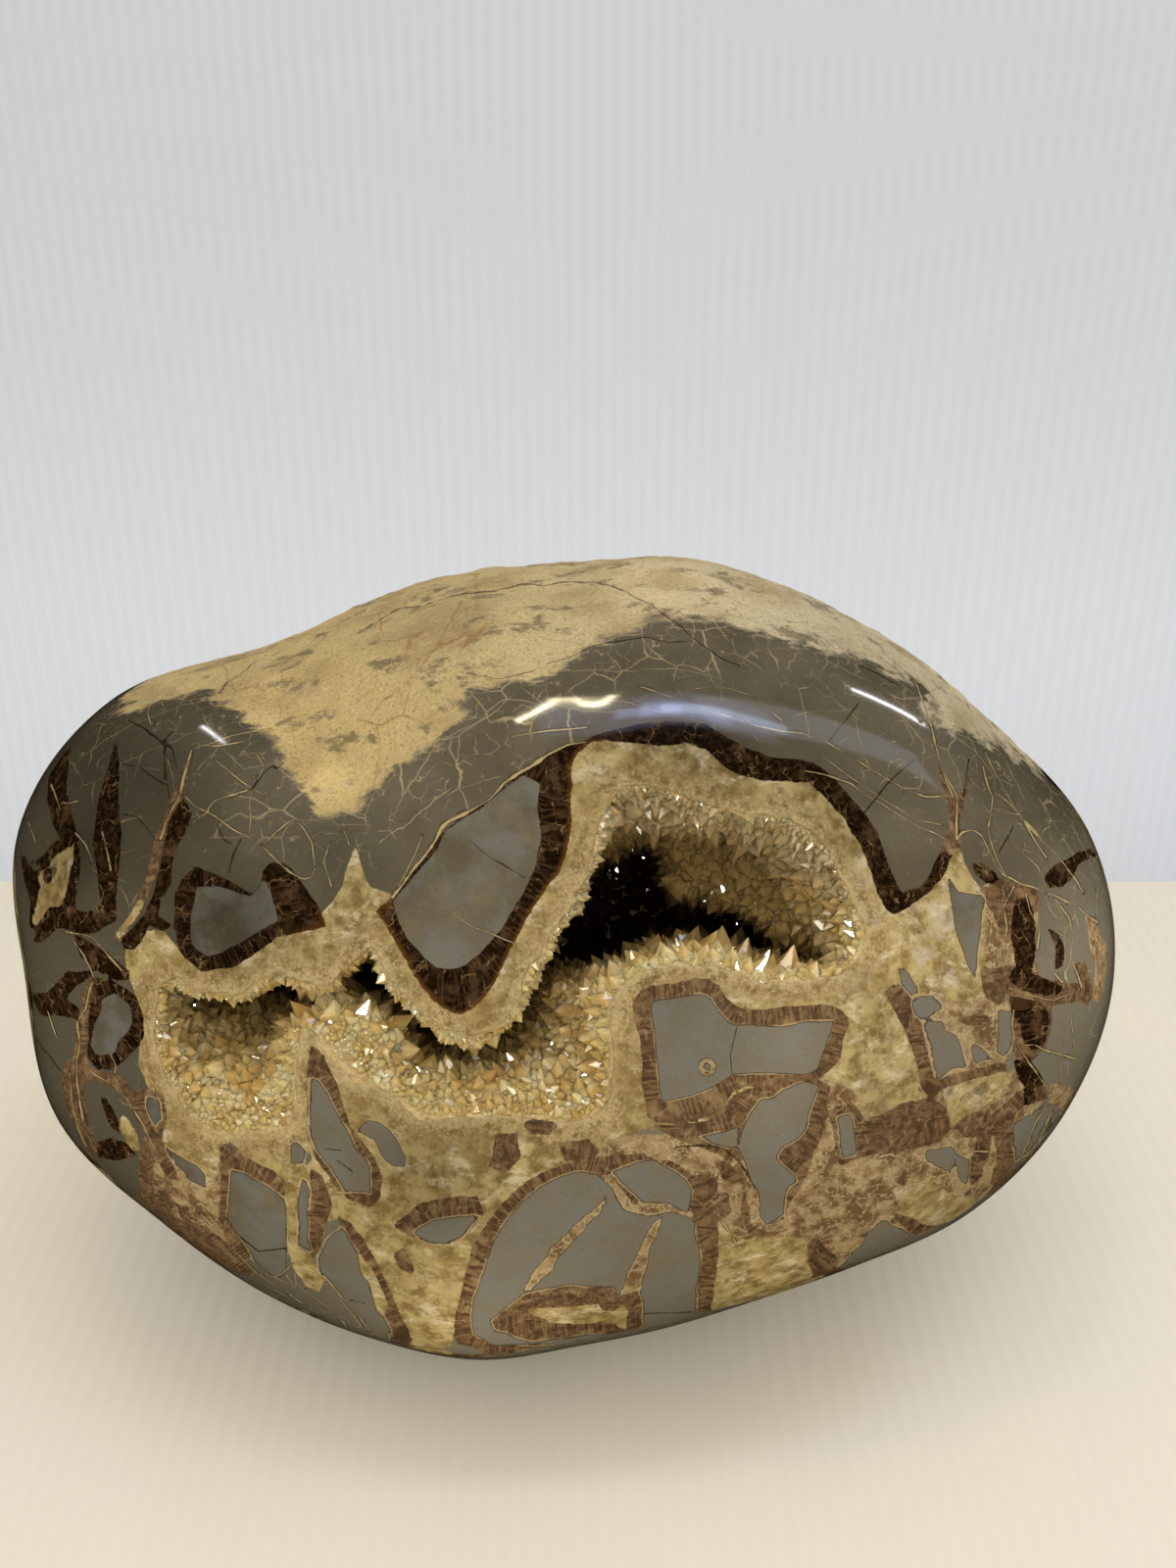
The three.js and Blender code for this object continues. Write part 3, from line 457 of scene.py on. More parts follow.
# lines in photo pixels: half-width, then the points
PALE_VEINS = [
    (1.5, [(400, 915), (420, 890), (432, 875), (445, 858), (452, 845), (460, 838), (475, 831),
           (490, 822), (500, 815), (508, 806), (515, 798), (525, 792), (545, 780), (560, 770),
           (580, 760), (600, 757)]),
    (0.8, [(405, 905), (415, 890), (422, 875), (432, 852)]),
    (0.6, [(437, 915), (460, 932), (480, 945), (500, 952), (528, 963)]),
    (0.9, [(188, 812), (198, 822), (210, 828), (222, 834), (238, 846), (253, 854), (268, 864),
           (285, 880), (296, 890), (308, 898), (318, 896), (322, 886)]),
    (1.1, [(196, 765), (192, 780), (187, 796), (184, 812), (176, 824), (170, 838), (164, 856)]),
    (1.0, [(210, 828), (218, 818), (230, 812), (242, 808), (253, 805)]),
    (0.6, [(256, 804), (254, 820), (255, 838), (254, 852)]),
    (0.5, [(219, 775), (236, 788), (256, 803), (272, 814)]),
    (0.6, [(195, 842), (205, 832), (214, 828)]),
    (0.6, [(268, 864), (282, 850), (292, 842), (300, 836)]),
    (0.6, [(300, 835), (310, 846), (318, 862), (322, 886)]),
    (0.5, [(157, 712), (163, 713), (169, 722), (168, 731), (162, 736), (158, 741), (153, 739),
           (151, 729), (154, 716), (157, 712)]),
    (0.6, [(198, 764), (215, 759), (235, 752), (255, 748), (278, 744)]),
    (0.6, [(200, 760), (222, 762), (250, 758)]),
    (0.8, [(262, 770), (270, 782), (262, 796), (258, 790)]),
    (0.7, [(338, 905), (330, 880), (336, 860), (350, 845), (356, 862)]),
    (0.7, [(60, 818), (70, 819), (80, 817)]),
    (0.6, [(26, 830), (32, 845), (38, 862)]),
    (0.8, [(76, 850), (86, 862), (94, 880)]),
    (0.8, [(68, 950), (82, 952), (95, 956), (108, 972), (124, 990)]),
    (0.9, [(72, 953), (84, 970), (92, 988), (96, 998), (92, 1010), (88, 1028), (80, 1040)]),
    (1.0, [(79, 1042), (80, 1062), (78, 1084), (79, 1104), (81, 1124), (86, 1146), (96, 1168)]),
    (0.8, [(84, 1086), (98, 1097), (114, 1106), (130, 1122), (145, 1148), (158, 1176)]),
    (0.7, [(70, 1092), (72, 1120), (80, 1150), (90, 1172)]),
    (0.8, [(112, 1074), (118, 1086), (116, 1098), (124, 1110)]),
    (0.8, [(48, 1030), (52, 1045), (58, 1060)]),
    (0.7, [(820, 785), (845, 792), (868, 800), (884, 812), (900, 820), (920, 834), (940, 846),
           (958, 852), (975, 862)]),
    (0.7, [(820, 748), (845, 758), (870, 772), (890, 786), (912, 798), (930, 808), (945, 813),
           (968, 812)]),
    (0.5, [(836, 770), (862, 790), (890, 808), (912, 822), (936, 838), (962, 842)]),
    (0.7, [(650, 700), (690, 712), (730, 728), (775, 742), (820, 748)]),
    (0.5, [(700, 705), (730, 700), (770, 712), (800, 735)]),
    (0.5, [(560, 722), (600, 712), (640, 716), (690, 732), (720, 738)]),
    (0.7, [(520, 752), (560, 745), (600, 742)]),
    (2.0, [(936, 700), (944, 722), (950, 742)]),
    (1.0, [(950, 742), (955, 765), (960, 784), (966, 800), (974, 816)]),
    (0.9, [(960, 784), (968, 798), (977, 814), (976, 836), (976, 856)]),
    (0.9, [(976, 856), (982, 848), (992, 846), (1002, 852), (1009, 865), (1016, 880),
           (1024, 892), (1040, 902), (1060, 908), (1080, 915), (1100, 925), (1112, 936),
           (1120, 942)]),
    (0.8, [(1004, 782), (1008, 800), (1013, 815), (1010, 830), (1008, 846), (1013, 862),
           (1019, 878), (1026, 892)]),
    (0.6, [(1012, 825), (1026, 828), (1040, 832), (1054, 845), (1066, 860), (1080, 874),
           (1092, 890), (1106, 912)]),
    (0.6, [(1014, 808), (1030, 820), (1043, 834)]),
    (0.6, [(1030, 856), (1045, 870), (1058, 884), (1065, 900), (1070, 912)]),
    (0.7, [(1114, 842), (1118, 858), (1120, 880), (1119, 910), (1120, 940)]),
    (0.7, [(1066, 912), (1070, 928), (1084, 944), (1095, 960)]),
    (0.7, [(1074, 915), (1090, 935), (1096, 955), (1092, 975), (1098, 990), (1105, 1008)]),
    (0.9, [(1074, 950), (1086, 956), (1094, 968), (1092, 984), (1086, 996), (1092, 1012)]),
    (0.8, [(1030, 1008), (1050, 1015), (1074, 1021), (1092, 1014)]),
    (0.8, [(1085, 988), (1092, 1010), (1091, 1030), (1096, 1056), (1100, 1079)]),
    (0.9, [(1040, 1067), (1055, 1066), (1065, 1071), (1084, 1076), (1100, 1080)]),
    (0.6, [(1083, 1058), (1083, 1080), (1083, 1106)]),
    (0.8, [(1036, 1030), (1034, 1050), (1038, 1066), (1048, 1082), (1060, 1098), (1070, 1116)]),
    (0.8, [(1078, 1118), (1072, 1136), (1063, 1156), (1052, 1180), (1038, 1198), (1020, 1218)]),
    (0.6, [(1068, 1126), (1056, 1148), (1046, 1172), (1036, 1190)]),
    (0.9, [(966, 1160), (976, 1172), (980, 1180)]),
    (0.7, [(980, 1178), (995, 1176), (1010, 1175)]),
    (0.7, [(330, 1300), (355, 1330), (383, 1365)]),
    (0.6, [(312, 1318), (335, 1335), (356, 1356)]),
    (0.7, [(205, 1238), (225, 1258), (245, 1282), (262, 1300), (290, 1318), (330, 1345)]),
    (0.6, [(268, 1300), (290, 1308), (312, 1314)]),
    (0.7, [(300, 1290), (280, 1305)]),
    (0.9, [(736, 1244), (745, 1258), (752, 1272)]),
    (0.8, [(895, 1182), (910, 1178), (925, 1190), (940, 1186)]),
    (0.8, [(473, 608), (461, 628), (443, 660), (425, 687), (405, 702), (388, 714), (377, 732),
           (367, 751)]),
    (0.7, [(900, 660), (920, 680), (938, 702)]),
    # a short pale streak, drawn with the same look as the veins
    (1.1, [(105, 848), (108, 862), (111, 876), (113, 888)]),
    (0.7, [(52, 800), (58, 812), (61, 828)]),
    (0.6, [(1005, 766), (1018, 792), (1034, 822), (1052, 850), (1068, 876)]),
    (0.6, [(1046, 912), (1050, 930), (1060, 948), (1058, 968)]),
    (0.6, [(1078, 960), (1070, 976), (1074, 992), (1084, 1004)]),
    (0.7, [(1034, 905), (1024, 925), (1028, 948), (1020, 970), (1026, 990)]),
]
DARK_CRACKS = [
    (0.6, [(480, 858), (500, 875), (535, 895)]),
    (1.4, [(130, 735), (148, 745), (165, 757), (171, 760)]),
    (0.8, [(166, 758), (176, 745)]),
    (0.9, [(168, 760), (168, 780), (171, 800), (173, 815)]),
    (0.7, [(176, 762), (181, 784)]),
    (0.8, [(121, 775), (128, 781), (141, 783), (156, 793), (169, 802)]),
    (0.6, [(125, 830), (140, 833), (150, 845), (160, 858)]),
    (0.9, [(256, 805), (266, 792), (278, 782), (283, 786), (290, 778)]),
    (0.8, [(222, 842), (228, 856), (238, 862)]),
    (1.2, [(246, 855), (238, 872), (233, 892)]),
    (0.6, [(36, 1058), (50, 1078), (62, 1094)]),
    (0.8, [(880, 832), (905, 800), (932, 775)]),
    (0.6, [(845, 756), (862, 736), (877, 717)]),
    (1.0, [(990, 775), (985, 795), (982, 815)]),
    (0.8, [(1020, 870), (1030, 852), (1034, 842)]),
    (0.8, [(330, 1171), (350, 1174)]),
    (1.0, [(343, 1183), (360, 1195)]),
    (0.6, [(357, 1326), (374, 1329)]),
    (0.6, [(657, 1341), (708, 1338)]),
    (0.7, [(245, 1262), (265, 1278), (292, 1274)]),
    (0.7, [(753, 1048), (746, 1075), (748, 1095)]),
    (1.0, [(690, 1171), (715, 1169), (738, 1172), (752, 1183), (762, 1196), (770, 1212)]),
    (0.6, [(468, 685), (490, 688), (515, 692), (540, 684), (563, 674), (586, 668), (606, 658),
           (632, 655), (659, 650), (680, 655), (701, 654)]),
    (0.7, [(372, 639), (390, 626), (409, 618), (440, 613), (472, 602), (502, 599), (531, 592),
           (558, 593), (584, 589), (610, 592), (637, 600), (650, 608), (664, 613), (680, 629),
           (696, 639), (708, 652), (722, 661), (738, 672), (754, 679)]),
    (0.7, [(222, 704), (232, 692), (245, 682), (262, 672), (285, 660)]),
    (0.9, [(875, 679), (900, 690), (917, 700)]),
]

# places on the polished face painted lighter or darker than the rest, partly for the stone's own
# tone and partly as painted light and shade, such as the lift on the lower flank: centre and reach
# in px, stops
TONE_AND_PAINTED_LIGHT = [
    ((60, 1010), 110, 0.2), ((1110, 970), 90, 0.45), ((110, 810), 80, -0.55),
    ((235, 940), 45, -0.8), ((330, 870), 60, -0.4), ((640, 720), 60, -0.35),
    ((740, 740), 80, -0.5), ((860, 750), 70, -0.4), ((810, 1065), 45, 0.2),
    ((690, 785), 70, -0.3), ((440, 1200), 60, -0.7), ((860, 840), 45, -0.4),
    ((920, 970), 45, 0.3), ((130, 1200), 60, 0.1), ((1060, 1180), 60, 0.1),
    ((420, 640), 120, -0.15), ((640, 620), 110, -0.1), ((900, 650), 90, -0.2),
    ((1050, 780), 60, -0.3), ((330, 800), 30, 0.3), ((780, 1300), 40, 0.3),
    ((230, 1230), 90, 0.25), ((500, 1390), 110, 0.7), ((85, 870), 30, -0.7),
    ((980, 735), 40, -0.25), ((670, 585), 60, 0.2), ((780, 1140), 45, 0.25),
    ((820, 1070), 60, 0.1), ((52, 905), 30, -0.45), ((150, 780), 50, -0.2),
    ((40, 1120), 60, 0.15),
]


def to_body(points):
    """Face axes to the row's axes, in mm."""
    a, b, c = points[..., 0], points[..., 1], points[..., 2]
    out = np.stack([a, b * math.sin(LEAN) - c * math.cos(LEAN),
                    b * math.cos(LEAN) + c * math.sin(LEAN)], -1)
    return out + CENTRE


def to_face(points):
    """The row's axes to face axes, in mm."""
    x, y, z = np.moveaxis(points - CENTRE, -1, 0)
    return np.stack([x, y * math.sin(LEAN) + z * math.cos(LEAN),
                     -y * math.cos(LEAN) + z * math.sin(LEAN)], -1)


def skin_radius(ways):
    """Distance from the stone's middle to its skin along unit ways."""
    turn = np.arctan2(ways[..., 1], ways[..., 0]) / (2 * math.pi) * len(OUTLINE)
    i = np.floor(turn).astype(int)
    f = turn - i
    p, q, r, s = (OUTLINE[(i + k) % len(OUTLINE)] for k in (-1, 0, 1, 2))
    outline = 0.5 * (2 * q + (r - p) * f + (2 * p - 5 * q + 4 * r - s) * f * f
                     + (3 * q - p - 3 * r + s) * f ** 3)
    flat = np.hypot(ways[..., 0], ways[..., 1]) / outline
    deep = np.abs(ways[..., 2]) / np.where(ways[..., 2] > 0, FRONT, BACK)
    radius = (flat ** ROUND + deep ** ROUND) ** (-1 / ROUND)
    for at, width, depth in DENTS:
        middle = np.array(at, float) / np.linalg.norm(at)
        off = np.degrees(np.arccos(np.clip(ways @ middle, -1, 1)))
        radius = radius - depth * np.exp(-(off / width) ** 2)
    return radius


def depth_below_skin(points):
    """How far face-axes points lie below the skin; negative outside."""
    reach = np.linalg.norm(points, axis=-1)
    return skin_radius(points / np.maximum(reach, 1e-9)[..., None]) - reach


def to_photo(points):
    """Pixels of the photograph's frame for points in the row's axes, in mm."""
    d = points - CAMERA
    far = d @ AHEAD
    return np.stack([MIDDLE[0] + FOCAL * (d @ RIGHT) / far,
                     MIDDLE[1] - FOCAL * (d @ UP) / far], -1)


def on_skin(pixels):
    """Face-axes points where the lines of sight through pixels meet the stone."""
    pixels = np.asarray(pixels, float)
    ways = (AHEAD + RIGHT * (pixels[:, :1] - MIDDLE[0]) / FOCAL
            - UP * (pixels[:, 1:] - MIDDLE[1]) / FOCAL)
    ways /= np.linalg.norm(ways, axis=1)[:, None]
    steps = np.arange(200.0, 620.0, 2.0)
    path = CAMERA + steps[:, None, None] * ways
    inside = depth_below_skin(to_face(path)) > 0
    first = np.argmax(inside, axis=0)
    near, far = steps[np.maximum(first - 1, 0)], steps[first]
    for _ in range(14):
        middle = (near + far) / 2
        hit = depth_below_skin(to_face(CAMERA + middle[:, None] * ways)) > 0
        far, near = np.where(hit, middle, far), np.where(hit, near, middle)
    return to_face(CAMERA + far[:, None] * ways)


def skin_normal(points):
    """Outward unit normals of the skin in the row's axes, for points in the face axes."""
    step = 0.5
    grad = np.stack([depth_below_skin(points - step * e) - depth_below_skin(points + step * e)
                     for e in np.eye(3)], -1)
    grad /= np.linalg.norm(grad, axis=-1)[..., None]
    return to_body(grad) - CENTRE


# ---------------------------------------------------------------- noise, distances, meshes
LATTICE = np.random.default_rng(11).random((32, 32, 32)) * 2 - 1     # repeats in every direction


def noise(points, size, seed=0):
    """Smooth noise from -1 to 1 with lumps of about a size in mm."""
    p = points / size + np.array([7.3, 13.1, 3.7]) * (seed + 1)
    cell = np.floor(p).astype(int)
    f = p - cell
    f = f * f * f * (f * (f * 6 - 15) + 10)
    total = 0
    for corner in np.ndindex(2, 2, 2):
        c = np.array(corner)
        weight = np.prod(np.where(c == 1, f, 1 - f), axis=-1)
        i = (cell + c) % len(LATTICE)
        total = total + weight * LATTICE[i[..., 0], i[..., 1], i[..., 2]]
    return total


def outline_depth(points, corners):
    """Signed distance of 2-D points to a closed outline, positive inside."""
    corners = np.asarray(corners, float)
    best = np.full(len(points), 1e18)
    inside = np.zeros(len(points), bool)
    for p, q in zip(corners, np.roll(corners, -1, axis=0)):
        side = q - p
        t = np.clip(((points - p) @ side) / (side @ side), 0, 1)
        best = np.minimum(best, ((points - p - t[:, None] * side) ** 2).sum(1))
        spans = (p[1] > points[:, 1]) != (q[1] > points[:, 1])
        rise = side[1] if side[1] else 1e-9
        inside ^= spans & (points[:, 0] < side[0] * (points[:, 1] - p[1]) / rise + p[0])
    return np.where(inside, 1, -1) * np.sqrt(best)


def soft_min(p, q, k):
    """The smaller of two fields, rounded over a width k where they meet."""
    h = np.clip(0.5 + 0.5 * (q - p) / k, 0, 1)
    return q * (1 - h) + p * h - k * h * (1 - h)


def surface_nets(field, origin, pitch):
    """A mesh of a grid's zero surface, its faces looking from negative to positive."""
    low = field < 0
    cells = tuple(n - 1 for n in field.shape)
    total = np.zeros(cells + (3,), np.float32)
    count = np.zeros(cells, np.float32)
    for axis in range(3):
        others = [k for k in range(3) if k != axis]
        for o1, o2 in np.ndindex(2, 2):
            at = [0, 0, 0]
            at[others[0]], at[others[1]] = o1, o2
            to = list(at)
            to[axis] = 1
            take = [tuple(slice(s[k], s[k] + cells[k]) for k in range(3)) for s in (at, to)]
            v0, v1 = field[take[0]], field[take[1]]
            cross = low[take[0]] != low[take[1]]
            t = np.where(cross, v0 / np.where(cross, v0 - v1, 1), 0)
            for k in range(3):
                total[..., k] += cross * (at[k] if k != axis else t)
            count += cross
    active = count > 0
    index = np.full(cells, -1)
    index[active] = np.arange(active.sum())
    spots = np.argwhere(active) + total[active] / count[active][:, None]
    quads = []
    for axis in range(3):
        j, k = (axis + 1) % 3, (axis + 2) % 3
        inner = [slice(1, n - 1) for n in field.shape]
        inner[axis] = slice(0, cells[axis])
        ahead = list(inner)
        ahead[axis] = slice(1, cells[axis] + 1)
        start, end = low[tuple(inner)], low[tuple(ahead)]
        for rising in (True, False):
            at = np.argwhere(start & ~end if rising else ~start & end)
            at[:, j] += 1
            at[:, k] += 1
            ring = []
            for dj, dk in ((-1, -1), (0, -1), (0, 0), (-1, 0)):
                cell = at.copy()
                cell[:, j] += dj
                cell[:, k] += dk
                ring.append(index[cell[:, 0], cell[:, 1], cell[:, 2]])
            quad = np.stack(ring, 1)
            quads.append(quad if rising else quad[:, ::-1])
    return origin + pitch * spots, np.concatenate(quads)


def new_piece(name, points, faces, smooth=True):
    """An object with a mesh of the given points, in mm and the row's axes."""
    mesh = bpy.data.meshes.new(name)
    faces = np.asarray(faces)
    mesh.vertices.add(len(points))
    mesh.vertices.foreach_set("co", (np.asarray(points) * 0.001).astype(np.float32).ravel())
    mesh.loops.add(faces.size)
    mesh.loops.foreach_set("vertex_index", faces.astype(np.int32).ravel())
    mesh.polygons.add(len(faces))
    mesh.polygons.foreach_set("loop_start", np.arange(len(faces), dtype=np.int32) * faces.shape[1])
    mesh.polygons.foreach_set("use_smooth", np.full(len(faces), smooth))
    mesh.update(calc_edges=True)
    mesh.validate()
    piece = bpy.data.objects.new(name, mesh)
    bpy.context.scene.collection.objects.link(piece)
    return piece


def put_numbers(piece, name, values):
    """A named number or vector for each vertex, which the materials read."""
    kind = "FLOAT" if values.ndim == 1 else "FLOAT_VECTOR"
    attribute = piece.data.attributes.new(name, kind, "POINT")
    field = "value" if values.ndim == 1 else "vector"
    attribute.data.foreach_set(field, values.astype(np.float32).ravel())


def vertex_points(piece):
    """The piece's vertices in mm, in the row's axes."""
    flat = np.empty(len(piece.data.vertices) * 3, np.float32)
    piece.data.vertices.foreach_get("co", flat)
    return flat.reshape(-1, 3).astype(float) * 1000


# ---------------------------------------------------------------- the shapes
def sphere_ways(level):
    """Unit ways and triangles of an icosphere."""
    ball = bmesh.new()
    bmesh.ops.create_icosphere(ball, subdivisions=level, radius=1)
    ways = np.array([v.co for v in ball.verts], float)
    faces = np.array([[v.index for v in f.verts] for f in ball.faces])
    ball.free()
    return ways / np.linalg.norm(ways, axis=1)[:, None], faces


def refine(ways, faces, wanted):
    """Splits the wanted triangles in four and their neighbours to match."""
    edges = np.sort(faces[:, [0, 1, 1, 2, 2, 0]].reshape(-1, 2), axis=1)
    edges, inverse = np.unique(edges, axis=0, return_inverse=True)
    inverse = inverse.reshape(-1, 3)
    marked = np.zeros(len(edges), bool)
    marked[inverse[wanted]] = True
    while True:
        share = marked[inverse].sum(1)
        if not (share == 2).any():
            break
        marked[inverse[share == 2]] = True
    middle = np.where(marked, len(ways) + np.cumsum(marked) - 1, -1)
    added = ways[edges[marked, 0]] + ways[edges[marked, 1]]
    added /= np.linalg.norm(added, axis=1)[:, None]
    whole, split = share == 0, share == 3
    v, m = faces[split], middle[inverse[split]]
    made = [faces[whole],
            np.stack([v[:, 0], m[:, 0], m[:, 2]], 1), np.stack([v[:, 1], m[:, 1], m[:, 0]], 1),
            np.stack([v[:, 2], m[:, 2], m[:, 1]], 1), m]
    for k in range(3):
        one = (share == 1) & marked[inverse[:, k]]
        a, b, c = (faces[one, (k + s) % 3] for s in range(3))
        half = middle[inverse[one, k]]
        made += [np.stack([a, half, c], 1), np.stack([half, b, c], 1)]
    return np.concatenate([ways, added]), np.concatenate(made)


def facing(points):
    """How squarely the skin at face-axes points looks at the photograph's camera, 1 to -1."""
    sight = CAMERA - to_body(points)
    return (skin_normal(points) * sight).sum(-1) / np.linalg.norm(sight, axis=-1)


SKIN_LEVEL, PIT_LEVEL = 7, 3    # subdivisions of the icospheres
SEEN = 0.3                      # skin that faces the camera more squarely than this is refined


def stone_mesh():
    """The stone's skin as body points and triangles, fine where the photo shows its polish."""
    ways, faces = sphere_ways(SKIN_LEVEL)
    middles = ways[faces].sum(1)
    middles /= np.linalg.norm(middles, axis=1)[:, None]
    spots = middles * skin_radius(middles)[:, None]
    pixels = to_photo(to_body(spots))
    seen = (facing(spots) > SEEN) & (outline_depth(pixels, RIND) < 8)
    ways, faces = refine(ways, faces, seen)
    points = ways * (skin_radius(ways) - INSET)[:, None]
    body = to_body(points)
    body[:, 2] = np.maximum(body[:, 2], 0)      # it stands on a flat foot
    return body, faces


# ---------------------------------------------------------------- painting the stone
FAR = 30.0                      # fields of the markings are kept within this many pixels
PX_PER_MM = 4.3                 # pixels of the photo to a millimetre of the polished face
SEAM_CELL = 33.0                # size in mm of the limestone cells that the photo doesn't show


def painted_fields(pixels):
    """How far each point lies inside each kind of marking, in pixels; one kind is above zero."""
    fields = {kind: np.full(len(pixels), -FAR) for kind in KINDS}
    fields["stone"][:] = FAR
    arc = np.zeros(len(pixels))
    arc_gap = np.full(len(pixels), FAR)
    for kind, corners in SHAPES:
        corners = np.array(corners, float)
        near = ((pixels > corners.min(0) - FAR) & (pixels < corners.max(0) + FAR)).all(1)
        depth = np.clip(outline_depth(pixels[near], corners), -FAR, FAR)
        for other in KINDS:
            field = fields[other]
            field[near] = (np.maximum if other == kind else np.minimum)(
                field[near], depth if other == kind else -depth)
        if kind == "core":
            gap, along = way_along(pixels[near], np.concatenate([corners, corners[:1]]))
            better = gap < arc_gap[near]
            spot = np.flatnonzero(near)[better]
            arc_gap[spot], arc[spot] = gap[better], along[better]
    return fields, arc


def way_along(points, line):
    """Distance of 2-D points to a line of points, and the length along it to the nearest spot."""
    best, along = np.full(len(points), 1e9), np.zeros(len(points))
    run = 0.0
    for p, q in zip(line[:-1], line[1:]):
        side = q - p
        span = np.hypot(*side)
        t = np.clip(((points - p) @ side) / span ** 2, 0, 1)
        gap = np.linalg.norm(points - p - t[:, None] * side, axis=1)
        along = np.where(gap < best, run + t * span, along)
        best = np.minimum(best, gap)
        run += span
    return best, along


def line_vectors(pixels, lines):
    """Vector to the nearest drawn line in half-widths, with a large third number far from it."""
    reach = 5.0                     # how far from a line it can still show, in pixels
    out = np.tile([0.0, 0.0, 20.0], (len(pixels), 1))
    best = np.full(len(pixels), 1e9)
    for half, line in lines:
        line = np.array(line, float)
        near = np.flatnonzero(((pixels > line.min(0) - 2 * reach)
                               & (pixels < line.max(0) + 2 * reach)).all(1))
        for p, q in zip(line[:-1], line[1:]):
            side = q - p
            t = np.clip(((pixels[near] - p) @ side) / (side @ side), 0, 1)
            off = pixels[near] - p - t[:, None] * side
            gap = np.hypot(off[:, 0], off[:, 1])
            better = (gap / half < best[near]) & (gap < 2 * reach)
            spot = near[better]
            best[spot] = gap[better] / half
            out[spot, :2] = off[better] / half
            out[spot, 2] = np.where(gap[better] < reach, 0, 20)
    return out


def seam_fields(points):
    """The same fields for the sides and back: cracks between cells of random size."""
    rng = np.random.default_rng(5)
    low, many = -5, 10              # the first cell, and how many there are along each axis
    seeds = rng.random((many, many, many, 3)) + np.stack(
        np.meshgrid(*[np.arange(many) + low] * 3, indexing="ij"), -1)
    strength = rng.random(many ** 3)
    warped = points + np.stack([noise(points, 22, s) for s in (20, 21, 22)], -1) * 7
    p = warped / SEAM_CELL
    cell = np.floor(p).astype(int) - low
    first = np.full(len(p), 1e9)
    second, one, two = first.copy(), np.zeros(len(p), int), np.zeros(len(p), int)
    for step in np.ndindex(3, 3, 3):
        at = np.clip(cell + np.array(step) - 1, 0, many - 1)
        number = (at[:, 0] * many + at[:, 1]) * many + at[:, 2]
        gap = np.linalg.norm(p - seeds[at[:, 0], at[:, 1], at[:, 2]], axis=1)
        nearer = gap < first
        second, two = (np.where(nearer, first, np.where(gap < second, gap, second)),
                       np.where(nearer, one, np.where(gap < second, number, two)))
        first, one = np.where(nearer, gap, first), np.where(nearer, number, one)
    flat = seeds.reshape(-1, 3)
    apart = np.linalg.norm(flat[one] - flat[two], axis=1)
    edge = (second ** 2 - first ** 2) / (2 * np.maximum(apart, 0.1)) * SEAM_CELL
    open_ = np.clip((strength[one] + strength[two]) / 2 - 0.32, 0, 1) * 2.4
    seam, rim = open_ * 2.6, np.where(open_ > 0, 1.5 + open_ * 4.5, 0)
    fields = {"stone": np.where(open_ > 0, -FAR, FAR), "tan": np.full(len(p), -FAR)}
    fields["calcite"] = np.where(open_ > 0, (seam - edge) * PX_PER_MM, -FAR)
    rims = np.minimum(edge - seam, seam + rim - edge) * PX_PER_MM
    fields["brown"] = np.where(open_ > 0, rims, -FAR)
    fields["dark"] = np.where((open_ > 0) & (strength[one] > 0.6), rims + 3, -FAR)
    fields["core"] = np.where(open_ > 0, (edge - seam - rim) * PX_PER_MM, -FAR)
    return {kind: np.clip(field, -FAR, FAR) for kind, field in fields.items()}


